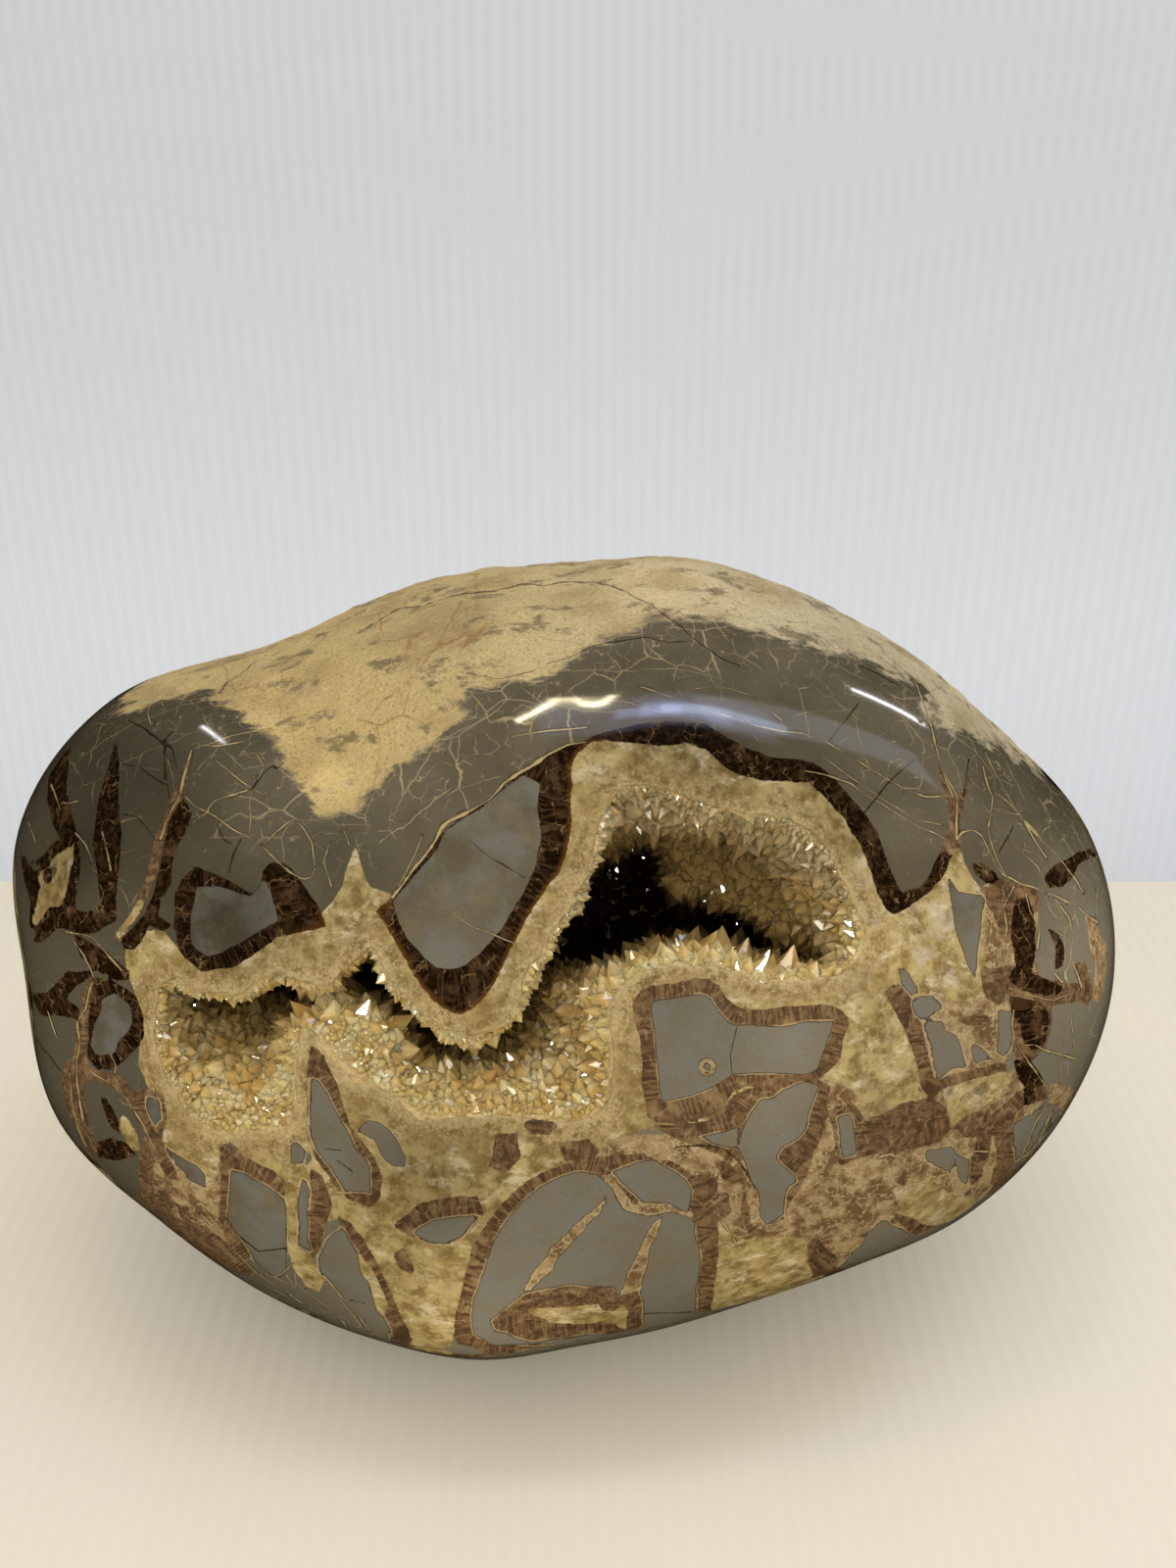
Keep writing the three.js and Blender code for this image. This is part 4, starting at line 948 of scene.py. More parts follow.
def paint_stone(piece):
    """Gives the stone's vertices the fields that its material reads, and roughens its rind."""
    body = vertex_points(piece)
    points = to_face(body)
    skin = depth_below_skin(points) < INSET + 0.3
    pixels = to_photo(body)
    wobble = np.stack([noise(points, 9, 30) + 0.6 * noise(points, 4, 31),
                       noise(points, 9, 32) + 0.6 * noise(points, 4, 33)], -1)
    square = facing(points)
    drawn = np.clip((square - 0.04) / 0.2, 0, 1)
    drawn = drawn * drawn * (3 - 2 * drawn)
    fields, arc = painted_fields(pixels + 1.6 * wobble)
    elsewhere = seam_fields(points)
    mixed = {kind: drawn * fields[kind] + (1 - drawn) * elsewhere[kind] for kind in KINDS}
    put_numbers(piece, "kinds_a", np.stack([mixed[k] for k in ("stone", "calcite", "tan")], -1))
    put_numbers(piece, "kinds_b", np.stack([mixed[k] for k in ("brown", "dark", "core")], -1))

    # the rind: as in the photo in front, then all over the top and back, but not round the ends
    far = 120.0                     # its field is kept within this many pixels
    ragged = 6 * noise(points, 12, 40) + 4 * noise(points, 5, 41)
    front = np.clip(outline_depth(pixels, RIND) + ragged, -far, far)
    low_end = 34 * np.clip((-90 - points[:, 0] + 16 * noise(points, 30, 43)) / 30, 0, 1)
    crown = np.minimum(points[:, 1] - 52 - low_end, 45 - points[:, 2])
    back = -40 - points[:, 2] + 9 * noise(points, 45, 42)
    behind = np.clip(np.maximum(crown, back) * PX_PER_MM + ragged, -far, far)
    rind = np.where(skin, drawn * front + (1 - drawn) * behind, -far)
    put_numbers(piece, "rind", rind)
    pale = [line_vectors(pixels + 1.2 * wobble, PALE_VEINS[k::3]) for k in range(3)]
    cracks = line_vectors(pixels + 1.2 * wobble, DARK_CRACKS)
    hidden = square < 0.1
    for k, veins in enumerate(pale):
        veins[hidden] = (0, 0, 20)
        put_numbers(piece, f"pale_lines_{k}", veins)
    cracks[hidden] = (0, 0, 20)
    put_numbers(piece, "dark_lines", cracks)
    lip = np.clip(-outline_depth(pixels, MOUTH), 0, 60)
    put_numbers(piece, "drawn", np.stack([arc, drawn, lip], -1))
    # a factor on the colour: the stone's own tone mixed with painted light and shade
    stops = sum(amount * np.exp(-((pixels - at) ** 2).sum(1) / reach ** 2)
                for at, reach, amount in TONE_AND_PAINTED_LIGHT)
    put_numbers(piece, "light", 2 ** (stops * drawn))

    # the unpolished rind is uneven and its cracks are open grooves
    rough = np.clip(rind / 10, 0, 1) * skin
    gap = np.linalg.norm(cracks, axis=1)
    sink = rough * (0.45 + 0.4 * noise(points, 7, 50) + 0.35 * noise(points, 2.6, 51)
                    + 0.6 * noise(points, 20, 52) + 0.5 * np.exp(-(gap / 2.2) ** 2))
    body -= (skin_normal(points) * np.maximum(sink, 0)[:, None])
    body[:, 2] = np.maximum(body[:, 2], 0)
    piece.data.vertices.foreach_set("co", (body * 0.001).astype(np.float32).ravel())
    piece.data.update()


# the hollow, carved along the lines of sight of the photo and ragged with noise
PITCH_MM = 1.0                  # of the grid that the hollow and its crust are carved on
grid_low, grid_high = np.array([-97.0, -34.0, 14.0]), np.array([70.0, 66.0, 100.0])
axes_mm = [np.arange(lo, hi, PITCH_MM) for lo, hi in zip(grid_low, grid_high)]
grid = np.stack(np.meshgrid(*axes_mm, indexing="ij"), -1)
skin_depth = depth_below_skin(grid)


def spread(spots, values, pixels):
    """Numbers known at some spots, carried smoothly to all pixels."""
    spots = np.array(spots, float)
    many = len(spots)
    system = np.ones((many + 1, many + 1))
    system[:many, :many] = np.linalg.norm(spots[:, None] - spots[None], axis=2)
    system[many, many] = 0
    weights = np.linalg.solve(system, np.append(values, 0))
    gaps = np.linalg.norm(pixels[:, None] - spots[None], axis=2)
    return gaps @ weights[:many] + weights[many]


def looked_up(table, pixels, corner, step):
    """Values of a table over the photo, at pixels."""
    at = np.clip((pixels - corner) / step, 0, np.array(table.shape) - 1.001)
    cell = at.astype(int)
    f = at - cell
    i, j = cell[..., 0], cell[..., 1]
    u, v = f[..., 0], f[..., 1]
    return ((table[i, j] * (1 - u) + table[i + 1, j] * u) * (1 - v)
            + (table[i, j + 1] * (1 - u) + table[i + 1, j + 1] * u) * v)


def hollow_field():
    """Distance to the hollow's wall over the grid, negative in the hollow."""
    corner, step = np.array([100.0, 740.0]), 3.0    # a coarser grid of pixels round the mouth
    across = np.stack(np.meshgrid(np.arange(280), np.arange(150), indexing="ij"), -1) * step
    flat = (corner + across).reshape(-1, 2)
    floor = spread([spot for spot, _ in FLOOR], [depth for _, depth in FLOOR], flat)
    outside = -outline_depth(flat, MOUTH) / PX_PER_MM
    pixels = to_photo(to_body(grid))
    floor, outside = (looked_up(table.reshape(across.shape[:2]), pixels, corner, step)
                      for table in (floor, outside))
    lumps = (1.5 * noise(grid, 14, 1) + 0.8 * noise(grid, 6, 2)) * np.clip(skin_depth / 6, 0, 1)
    teeth = 0.75 * noise(grid, 2.4, 6) + 0.5 * noise(grid, 4.5, 7)
    undercut = np.clip((skin_depth - 3) * 0.6, 0, 4) + teeth
    field = -soft_min(floor - skin_depth, undercut - outside, 2.0) + lumps
    slope = np.sqrt(sum(g ** 2 for g in np.gradient(field, PITCH_MM)))
    return field / np.maximum(slope, 1)


hollow = hollow_field()


def cut(piece, cutter):
    """Takes the cutter out of the piece for good."""
    modifier = piece.modifiers.new("cut", "BOOLEAN")
    modifier.operation = "DIFFERENCE"
    modifier.object = cutter
    modifier.solver = "MANIFOLD"
    bpy.context.view_layer.update()
    done = bpy.data.meshes.new_from_object(
        piece.evaluated_get(bpy.context.evaluated_depsgraph_get()))
    piece.modifiers.clear()
    old = piece.data
    piece.data = done
    bpy.data.meshes.remove(old)
    bpy.data.objects.remove(cutter)


# small pits where the calcite seams aren't quite filled: pixel and radius in mm
PITS = [((1005, 1113), 2.0), ((988, 1122), 1.6), ((948, 1223), 1.7), ((940, 950), 1.3),
        ((545, 1165), 1.5), ((898, 1074), 1.3), ((50, 890), 1.8)]


def pit_meshes():
    """Lumpy balls on the skin, one for each pit, as body points and triangles."""
    ways, faces = sphere_ways(PIT_LEVEL)
    points, rings = [], []
    for (_, radius), at in zip(PITS, on_skin([p for p, _ in PITS])):
        lump = ways * (radius * (1 + 0.3 * noise(ways * 3 + at, 1.5)))[:, None] * [1.3, 0.8, 1]
        rings.append(faces + len(ways) * len(points))
        points.append(to_body(at + lump))
    return np.concatenate(points), np.concatenate(rings)


def triangles(quads):
    """Two triangles for each quad."""
    return np.concatenate([quads[:, [0, 1, 2]], quads[:, [0, 2, 3]]])


nodule = new_piece("nodule_stone", *stone_mesh())
wall_points, wall_quads = surface_nets(np.maximum(hollow, -skin_depth - 4), grid_low, PITCH_MM)
pit_points, pit_faces = pit_meshes()
cutter = new_piece("hollow", np.concatenate([to_body(wall_points), pit_points]),
                   np.concatenate([triangles(wall_quads), pit_faces + len(wall_points)]))
cut(nodule, cutter)

# the crust: a bumpy layer on the wall, thin at the mouth and thicker inside
bumps = 0.9 * noise(grid, 5, 4) + 0.5 * noise(grid, 2.5, 5)
thick = 0.5 + 1.8 * np.clip(skin_depth / 12, 0, 1) + bumps * np.clip(skin_depth / 4, 0.15, 1)
crust_field = np.maximum(np.maximum(hollow - 0.8, -(hollow + thick)), INSET + 0.15 - skin_depth)
crust_points, crust_quads = surface_nets(crust_field, grid_low, PITCH_MM)
crust = new_piece("calcite_crust", to_body(crust_points), triangles(crust_quads))


# ---------------------------------------------------------------- the crystals
def pointed_crystal():
    """A crystal of unit girth and height: a three-sided point with bevelled edges on a stem."""
    turn = np.arange(6) * math.pi / 3
    reach = np.where(np.arange(6) % 2, 1.0, 0.78)
    waist = np.stack([reach * np.cos(turn), reach * np.sin(turn),
                      np.where(np.arange(6) % 2, 0.05, 0.24)], 1)
    foot = np.stack([0.7 * np.cos(turn), 0.7 * np.sin(turn), np.full(6, -0.6)], 1)
    points = np.concatenate([waist, foot, [[0, 0, 1.0]]])
    faces = []
    for k in range(6):
        n = (k + 1) % 6
        faces += [(k, n, 12), (6 + k, n, k), (6 + k, 6 + n, n)]
    faces += [(6, 6 + k + 1, 6 + k) for k in range(1, 5)]
    return points, np.array(faces)


# ridges of the wall that carry the largest crystals, in photo pixels
RIDGES = [[(628, 1000), (640, 985), (660, 975), (700, 968), (740, 972), (762, 985), (800, 994),
           (850, 994)],
          [(306, 1052), (322, 1036), (345, 1022), (375, 1024), (398, 1036), (414, 1062)],
          [(620, 1010), (616, 1060), (620, 1100)]]


def wall_samples(count, rng):
    """Random spots on the crust's inner side with the way out of the wall, in face axes."""
    corners = crust_points[triangles(crust_quads)]
    side = np.cross(corners[:, 1] - corners[:, 0], corners[:, 2] - corners[:, 0])
    area = np.linalg.norm(side, axis=1)
    way = side / np.maximum(area, 1e-9)[:, None]
    middle = corners.mean(1)
    cell = np.clip(np.round((middle - grid_low) / PITCH_MM).astype(int), 0,
                   np.array(hollow.shape) - 1)
    gap = hollow[cell[:, 0], cell[:, 1], cell[:, 2]]
    below = skin_depth[cell[:, 0], cell[:, 1], cell[:, 2]]
    inner = (gap < -0.25) & (below > INSET + 0.3)
    # crowded where it shows from outside, sparser behind
    weight = (area * inner * np.where(middle[:, 2] > 42, 1, 0.3)
              * np.where(way[:, 2] > -0.3, 1, 0.35))
    pick = rng.choice(len(area), count, p=weight / weight.sum())
    u, v = np.sqrt(rng.random(count)), rng.random(count)
    spots = (corners[pick, 0] * (1 - u)[:, None] + corners[pick, 1] * (u * (1 - v))[:, None]
             + corners[pick, 2] * (u * v)[:, None])
    return spots, way[pick]


def thin_out(spots, reach):
    """Keeps spots in order that have no kept spot within their reach."""
    cells, kept = {}, []
    size = reach.max()
    for i, spot in enumerate(spots):
        key = tuple(np.floor(spot / size).astype(int))
        near = [j for d in np.ndindex(3, 3, 3)
                for j in cells.get((key[0] + d[0] - 1, key[1] + d[1] - 1, key[2] + d[2] - 1), ())]
        if near and (((spots[near] - spot) ** 2).sum(1) < reach[i] ** 2).any():
            continue
        cells.setdefault(key, []).append(i)
        kept.append(i)
    return np.array(kept)


def grow_crystals(name, count, length, girth, spread_mm, tilt, seed):
    """Crystals standing on the crust, as one piece; count is that of the spots tried for them."""
    rng = np.random.default_rng(seed)
    spots, ways = wall_samples(count, rng)
    below = depth_below_skin(spots)
    pixels = to_photo(to_body(spots))
    ridge = np.min([way_along(pixels, np.array(line, float))[0] for line in RIDGES], axis=0)
    size = (0.4 + 0.45 * np.clip(below / 9, 0, 1)) * (0.7 + 0.6 * rng.random(count))
    crest = np.clip(1.6 - ridge / 14, 0, 1)
    size *= 1 + 0.45 * crest
    kept = thin_out(spots, spread_mm * size)
    spots, ways, size, crest = spots[kept], ways[kept], size[kept], crest[kept]
    n = len(kept)
    up = ways + tilt * (rng.random((n, 3)) - 0.5)
    up /= np.linalg.norm(up, axis=1)[:, None]
    side = np.cross(up, rng.normal(size=(n, 3)))
    side /= np.linalg.norm(side, axis=1)[:, None]
    across = np.cross(up, side)
    tall = (length * size * (0.7 + 0.6 * rng.random(n)) * (1 + 0.1 * crest))[:, None, None]
    wide = (girth * size * (0.8 + 0.4 * rng.random(n)))[:, None, None]
    flat = wide * (0.75 + 0.25 * rng.random(n))[:, None, None]
    shape, faces = pointed_crystal()
    points = (spots[:, None] + wide * shape[:, :1] * side[:, None]
              + flat * shape[:, 1:2] * across[:, None] + tall * shape[:, 2:] * up[:, None])
    # nothing stands out of the polished face
    out = np.maximum(INSET + 0.1 - depth_below_skin(points), 0).max(1)
    points -= out[:, None, None] * np.array([0, 0, 1.0])
    faces = faces[None] + (np.arange(n) * len(shape))[:, None, None]
    piece = new_piece(name, to_body(points.reshape(-1, 3)), faces.reshape(-1, 3), smooth=False)
    put_numbers(piece, "tone", np.repeat(rng.random(n), len(shape)))
    return piece


crystal_pieces = [
    grow_crystals("large_crystals", count=16000, length=3.3, girth=2.7, spread_mm=2.8, tilt=0.95,
                  seed=21),
    grow_crystals("small_crystals", count=30000, length=2.0, girth=1.7, spread_mm=1.65, tilt=1.1,
                  seed=22),
]


# ---------------------------------------------------------------- materials
def tone(red, green, blue):
    """A linear colour from screen values of 0 to 255."""
    parts = [v / 255 for v in (red, green, blue)]
    return (*[p / 12.92 if p <= 0.04045 else ((p + 0.055) / 1.055) ** 2.4 for p in parts], 1)


class Finish:
    """Shorthand for building one material's nodes. Lengths are mm in the row's axes.

    A value can be a number, a colour or another node's socket.
    """

    def __init__(self, name):
        self.material = bpy.data.materials.new(name)
        self.material.use_nodes = True
        self.tree = self.material.node_tree
        self.shader = self.tree.nodes["Principled BSDF"]
        where = self.tree.nodes.new("ShaderNodeTexCoord").outputs["Object"]
        self.place = self.vector("SCALE", where, scale=1000.0)

    def put(self, socket, value):
        if isinstance(value, bpy.types.NodeSocket):
            self.tree.links.new(value, socket)
        else:
            socket.default_value = value

    def node(self, kind, inputs=(), **settings):
        node = self.tree.nodes.new("ShaderNode" + kind)
        for key, value in settings.items():
            setattr(node, key, value)
        for key, value in dict(inputs).items():
            self.put(node.inputs[key], value)
        return node

    def math(self, operation, *values, clamp=False):
        node = self.node("Math", enumerate(values), operation=operation, use_clamp=clamp)
        return node.outputs[0]

    def times(self, one, two, clamp=False):
        return self.math("MULTIPLY", one, two, clamp=clamp)

    def plus(self, one, two):
        return self.math("ADD", one, two)

    def minus(self, one, two):
        return self.math("SUBTRACT", one, two)

    def vector(self, operation, *values, scale=None):
        node = self.node("VectorMath", enumerate(values), operation=operation)
        if scale is not None:
            self.put(node.inputs["Scale"], scale)
        return node.outputs["Value" if operation == "LENGTH" else "Vector"]

    def step(self, value, low, high, to_low=0.0, to_high=1.0):
        """Runs smoothly from one value to another as the input goes from low to high."""
        node = self.node("MapRange", {"Value": value, "From Min": low, "From Max": high,
                                      "To Min": to_low, "To Max": to_high},
                         interpolation_type="SMOOTHSTEP")
        return node.outputs["Result"]

    def mix(self, factor, one, two):
        """A colour between two."""
        return self.node("Mix", {0: factor, 6: one, 7: two}, data_type="RGBA").outputs[2]

    def between(self, factor, one, two):
        """A number between two."""
        return self.node("Mix", {0: factor, 2: one, 3: two}, data_type="FLOAT").outputs[0]

    def noise(self, size, detail=2.0, rough=0.5, vector=None, colour=False):
        node = self.node("TexNoise", {"Vector": vector or self.place, "Scale": 1 / size,
                                      "Detail": detail, "Roughness": rough})
        return node.outputs["Color" if colour else "Fac"]

    def cells(self, size, feature="F1", out="Distance", vector=None):
        node = self.node("TexVoronoi", {"Vector": vector or self.place, "Scale": 1 / size},
                         feature=feature)
        return node.outputs[out]

    def split(self, vector):
        return self.node("SeparateXYZ", {0: vector}).outputs

    def attribute(self, name, out="Fac"):
        return self.node("Attribute", attribute_name=name).outputs[out]

    def warped(self, size, amount):
        """The place pushed about by noise, for ragged patterns."""
        push = self.vector("SUBTRACT", self.noise(size, 3, colour=True), (0.5, 0.5, 0.5))
        return self.vector("ADD", self.place, self.vector("SCALE", push, scale=amount))

    def bump(self, height, distance, strength):
        return self.node("Bump", {"Height": height, "Distance": distance * 0.001,
                                  "Strength": strength}).outputs[0]

    def use(self, **inputs):
        """Sets the shader's sockets."""
        for key, value in inputs.items():
            self.put(self.shader.inputs[key.replace("_", " ")], value)
        return self.material


def hairlines(f, size, warp, thin, share, stretch=(1, 1, 1)):
    """Thin broken lines along the borders of warped cells, 0 to 1; share is how much has them."""
    where = f.vector("MULTIPLY", f.warped(size * 0.8, warp), stretch)
    border = f.cells(size, "DISTANCE_TO_EDGE", vector=where)
    line = f.step(border, 0.0, thin / size, 1, 0)
    patches = f.times(f.minus(f.noise(size * 0.75, 2), f.minus(0.6, share)), 8.0, clamp=True)
    return f.times(line, patches)


def nodule_finish():
    """Polished stone with its markings, and the dull rind."""
    f = Finish("septarian_stone")
    stone, calcite, tan = f.split(f.attribute("kinds_a", "Vector"))
    brown, dark, core = f.split(f.attribute("kinds_b", "Vector"))
    arc, drawn, lip = f.split(f.attribute("drawn", "Vector"))
    rind = f.attribute("rind")
    pale = 20.0
    for k in range(3):
        veins = f.vector("LENGTH", f.attribute(f"pale_lines_{k}", "Vector"))
        pale = f.math("MINIMUM", veins, pale)
    crack = f.vector("LENGTH", f.attribute("dark_lines", "Vector"))
    grain = f.noise(0.9, 3, 0.6)
    cloud = f.noise(22.0, 3, 0.55)
    ragged = f.split(f.noise(1.6, 3, 0.65, colour=True))
    loose = f.split(f.noise(4.0, 3, 0.6, colour=True))

    def shifted(field, source, amount):
        """The field with noise of the given reach added."""
        return f.math("MULTIPLY_ADD", f.minus(source, 0.5), amount, field)

    # limestone, grey and nearly even
    side, _, height = f.split(f.place)
    # lighter grey towards the bottom: partly the limestone's own tone, partly painted light on the
    # lower flank
    low = f.step(height, 118, 148, 1, 0)
    left = f.step(side, -95, -30, 1, 0)
    grey = f.mix(f.step(cloud, 0.3, 0.7), tone(86, 78, 60), tone(104, 96, 76))
    grey = f.mix(f.times(low, 0.85), grey, tone(118, 111, 93))
    grey = f.mix(f.times(left, 0.6), grey, tone(56, 50, 37))
    grey = f.mix(f.step(grain, 0.3, 0.75), f.mix(0.15, grey, tone(50, 44, 34)), grey)
    speck = f.step(f.noise(0.9, 2, 0.7), 0.66, 0.74)
    clean = f.mix(f.step(f.noise(10.0, 4, 0.6), 0.42, 0.62, 0, 0.45), grey, tone(112, 112, 106))
    stain = f.noise(6.0, 5, 0.65, vector=f.warped(9.0, 6.0))
    clean = f.mix(f.step(stain, 0.5, 0.66, 0, 0.4), clean, tone(118, 102, 74))
    clean = f.mix(f.times(speck, 0.5), clean, tone(52, 46, 38))
    crazed = f.step(rind, -110, -5, 0.03, 0.2)
    net = f.math("MAXIMUM", hairlines(f, 17.0, 6.0, 0.16, crazed, (0.4, 1, 1)),
                 hairlines(f, 11.0, 4.0, 0.15, crazed, (1, 0.8, 0.4)))
    net = f.math("MAXIMUM", net, hairlines(f, 4.5, 3.0, 0.1, f.minus(crazed, 0.03)))
    veined = f.mix(f.times(net, f.step(side, -95, -30, 0.4, 0.7)), grey, tone(172, 154, 114))

    # golden calcite: sugary and pale at the hollow's lip, cloudier and more olive away from it
    sugar = f.noise(0.7, 4, 0.75)
    fringe = f.plus(lip, f.times(f.minus(ragged[0], 0.5), 30.0))
    honey = f.mix(f.step(f.noise(2.6, 5, 0.7), 0.38, 0.62), tone(118, 95, 54), tone(164, 141, 92))
    near = f.mix(f.step(fringe, 0, 10, 0.4, 1), tone(182, 162, 114), honey)
    near = f.mix(f.step(sugar, 0.5, 0.7, 0, 0.55), near, tone(206, 190, 146))
    near = f.mix(f.step(sugar, 0.3, 0.48, 0.6, 0), near, tone(88, 66, 34))
    away = f.mix(f.step(f.noise(4.0, 6, 0.7), 0.36, 0.62), tone(116, 95, 52), tone(170, 150, 99))
    veil = f.noise(5.0, 6, 0.74, vector=f.vector("MULTIPLY", f.warped(14.0, 9.0), (0.75, 1, 1.2)))
    away = f.mix(f.step(veil, 0.51, 0.64, 0, 0.6), away, tone(210, 196, 158))
    gold = f.mix(f.step(f.plus(lip, f.times(cloud, 14.0)), 16, 36), near, away)
    gold = f.mix(f.step(f.noise(11.0, 3), 0.5, 0.64, 0, 0.4), gold, tone(128, 104, 56))
    lean = f.times(f.step(side, 50, 78), f.step(f.noise(7.0, 5, 0.65), 0.48, 0.66))
    gold = f.mix(f.times(lean, 0.5), gold, tone(186, 174, 152))

    # mottled tan: brown blots and a cream net on pinkish tan
    ridge = f.math("ABSOLUTE", f.minus(f.noise(3.2, 4, 0.6), 0.5))
    sandy = f.mix(f.step(f.noise(4.5, 4, 0.65), 0.38, 0.62), tone(104, 79, 50), tone(154, 131, 93))
    sandy = f.mix(f.step(ridge, 0.005, 0.03, 0.6, 0), sandy, tone(188, 168, 126))
    sandy = f.mix(f.step(f.noise(7.0, 3, 0.6), 0.60, 0.70), sandy, tone(92, 70, 50))

    # rims: columns standing across the band
    across = f.math("MAXIMUM", core, f.minus(0.0, core))
    columns = f.node("CombineXYZ", {0: f.times(arc, 0.42),
                                    1: f.times(across, 0.05),
                                    2: f.times(cloud, 3.0)}).outputs[0]
    mottle = f.noise(1.3, 4, 0.7)
    column = f.between(f.times(drawn, f.step(arc, 0, 1)), mottle,
                       f.noise(1.0, 2, 0.5, vector=columns))
    rim = f.mix(f.step(column, 0.36, 0.64), tone(76, 56, 38), tone(120, 94, 63))
    rim = f.mix(f.step(f.noise(2.2, 5, 0.7), 0.46, 0.62, 0, 0.6), rim, tone(62, 45, 31))
    rim = f.mix(f.step(f.noise(4.5, 4, 0.65), 0.52, 0.68, 0, 0.55), rim, tone(150, 125, 88))
    rim = f.mix(f.times(hairlines(f, 5.0, 3.5, 0.16, 0.12), 0.5), rim, tone(168, 146, 104))
    deep = f.mix(f.step(column, 0.42, 0.66), tone(22, 12, 5), tone(58, 40, 22))
    deep = f.mix(f.step(f.noise(5.5, 4, 0.65), 0.52, 0.68, 0, 0.7), deep, tone(84, 62, 40))
    amber = f.step(f.minus(dark, calcite), 0, 13, 1, 0)
    amber = f.times(f.times(amber, f.step(side, -60, -48)), f.step(side, 0, 14, 1, 0))
    deep = f.mix(f.times(amber, 0.6), deep, tone(98, 60, 22))
    deep = f.mix(f.times(hairlines(f, 4.0, 4.0, 0.16, 0.12), 0.55), deep, tone(150, 122, 80))

    # the kind with the highest field shows
    colour, best = veined, stone
    for field, source, amount, soft, look in (
            (calcite, ragged[0], 7, 1.0, gold), (tan, loose[0], 16, 2.0, sandy),
            (brown, ragged[1], 5, 0.9, rim), (dark, ragged[2], 6, 1.2, deep),
            (core, ragged[0], 2, 0.7, clean)):
        field = shifted(field, source, amount)
        over = f.minus(field, best)
        colour = f.mix(f.step(over, -soft, soft), colour, look)
        best = f.math("MAXIMUM", best, field)
    edge = over                     # how far inside its border the bare limestone shows
    # a pale seam just outside each cell, and a dark line at its very edge
    broken = f.step(f.noise(9.0, 3), 0.38, 0.52)
    halo = f.times(f.step(edge, -4.6, -2.6), f.step(edge, -1.6, -0.4, 1, 0))
    halo = f.times(halo, f.step(f.minus(brown, dark), -2, 2))
    colour = f.mix(f.times(f.times(halo, broken), 0.7), colour, tone(170, 150, 108))
    shade = f.times(f.step(edge, -1.2, -0.2), f.step(edge, 0.4, 1.8, 1, 0))
    colour = f.mix(f.times(shade, 0.65), colour, tone(40, 31, 22))

    # drawn veins and cracks
    wide = f.plus(pale, f.times(f.minus(loose[1], 0.5), 1.4))
    wide = f.times(wide, f.step(f.noise(6.0, 4, 0.6), 0.38, 0.62, 0.6, 2.4))
    colour = f.mix(f.step(wide, 1.2, 3.0, 0.6, 0), colour, tone(44, 33, 22))
    colour = f.mix(f.step(wide, 0.6, 1.1, 0.9, 0), colour,
                   f.mix(f.step(wide, 0.1, 0.9), tone(176, 158, 112), tone(132, 112, 74)))
    fine = f.plus(crack, f.times(f.minus(loose[2], 0.5), 1.8))
    fine = f.times(fine, f.step(f.noise(5.0, 4, 0.6), 0.36, 0.62, 0.8, 1.8))
    colour = f.mix(f.step(fine, 0.7, 1.3, 0.85, 0), colour, tone(34, 25, 17))

    # the unpolished rind
    sand = f.mix(f.step(side, -60, 75), tone(200, 174, 112), tone(204, 188, 148))
    sand = f.mix(f.step(f.noise(16.0, 5, 0.6), 0.44, 0.66, 0, 0.7), sand, tone(164, 138, 86))
    smear = f.noise(8.0, 6, 0.66, vector=f.vector("MULTIPLY", f.place, (0.6, 1.0, 1.4)))
    sand = f.mix(f.step(smear, 0.55, 0.63, 0, 0.75), sand, tone(112, 98, 68))
    sand = f.mix(f.step(f.noise(4.0, 5, 0.7), 0.52, 0.68, 0, 0.5), sand, tone(206, 184, 140))
    sand = f.mix(f.step(f.noise(0.8, 4, 0.8), 0.5, 0.68, 0, 0.6), sand, tone(104, 80, 44))
    sand = f.mix(f.times(hairlines(f, 26.0, 12.0, 0.4, 0.12), 0.6), sand, tone(146, 98, 46))
    sand = f.mix(f.step(wide, 0.6, 1.4, 0.6, 0), sand, tone(140, 96, 48))
    sand = f.mix(f.step(fine, 0.7, 1.4, 0.8, 0), sand, tone(66, 50, 30))
    streaks = f.vector("MULTIPLY", f.warped(10.0, 5.0), (0.45, 1.0, 1.3))
    edge_noise = f.times(f.minus(f.noise(4.6, 6, 0.66, vector=streaks), 0.5), 52)
    bare = f.plus(rind, edge_noise)
    worn = f.step(bare, -6, 4)
    # the colour is scaled by that factor of own tone and painted light and shade
    colour = f.vector("SCALE", f.mix(worn, colour, sand), scale=f.attribute("light"))
    dull = f.step(bare, -8, 2)

    rough = f.between(dull, f.step(calcite, -2, 3, 0.08, 0.18), 0.82)
    pits = f.times(f.step(f.noise(1.3, 4, 0.7), 0.35, 0.7), dull)
    normal = f.bump(pits, 0.35, 0.9)
    f.use(Base_Color=colour, Roughness=rough, Normal=normal)
    f.shader.inputs["IOR"].default_value = 1.48
    return f.material


def crust_finish():
    """The calcite under the crystals: honey near the face, darkened by painted shade, brown and
    then near black, deep inside.
    """
    f = Finish("calcite_crust")
    deep = f.attribute("deep")
    lump = f.noise(2.4, 4, 0.6)
    colour = f.mix(f.step(lump, 0.3, 0.7), tone(172, 138, 78), tone(208, 182, 122))
    # painted shade: darker with depth below the skin, near black in the deep cavern
    colour = f.mix(f.step(deep, 2, 14), colour, tone(118, 88, 40))
    colour = f.mix(f.step(deep, 18, 38), colour, tone(26, 17, 9))
    facets = f.cells(1.8, "F1", "Color")
    colour = f.mix(0.25, colour, f.mix(f.split(facets)[0], tone(110, 80, 36), tone(210, 188, 136)))
    bumps = f.bump(f.cells(1.3, "F1"), 0.7, 0.8)
    f.use(Base_Color=colour, Roughness=0.35, Normal=bumps)
    f.shader.inputs["IOR"].default_value = 1.58
    return f.material


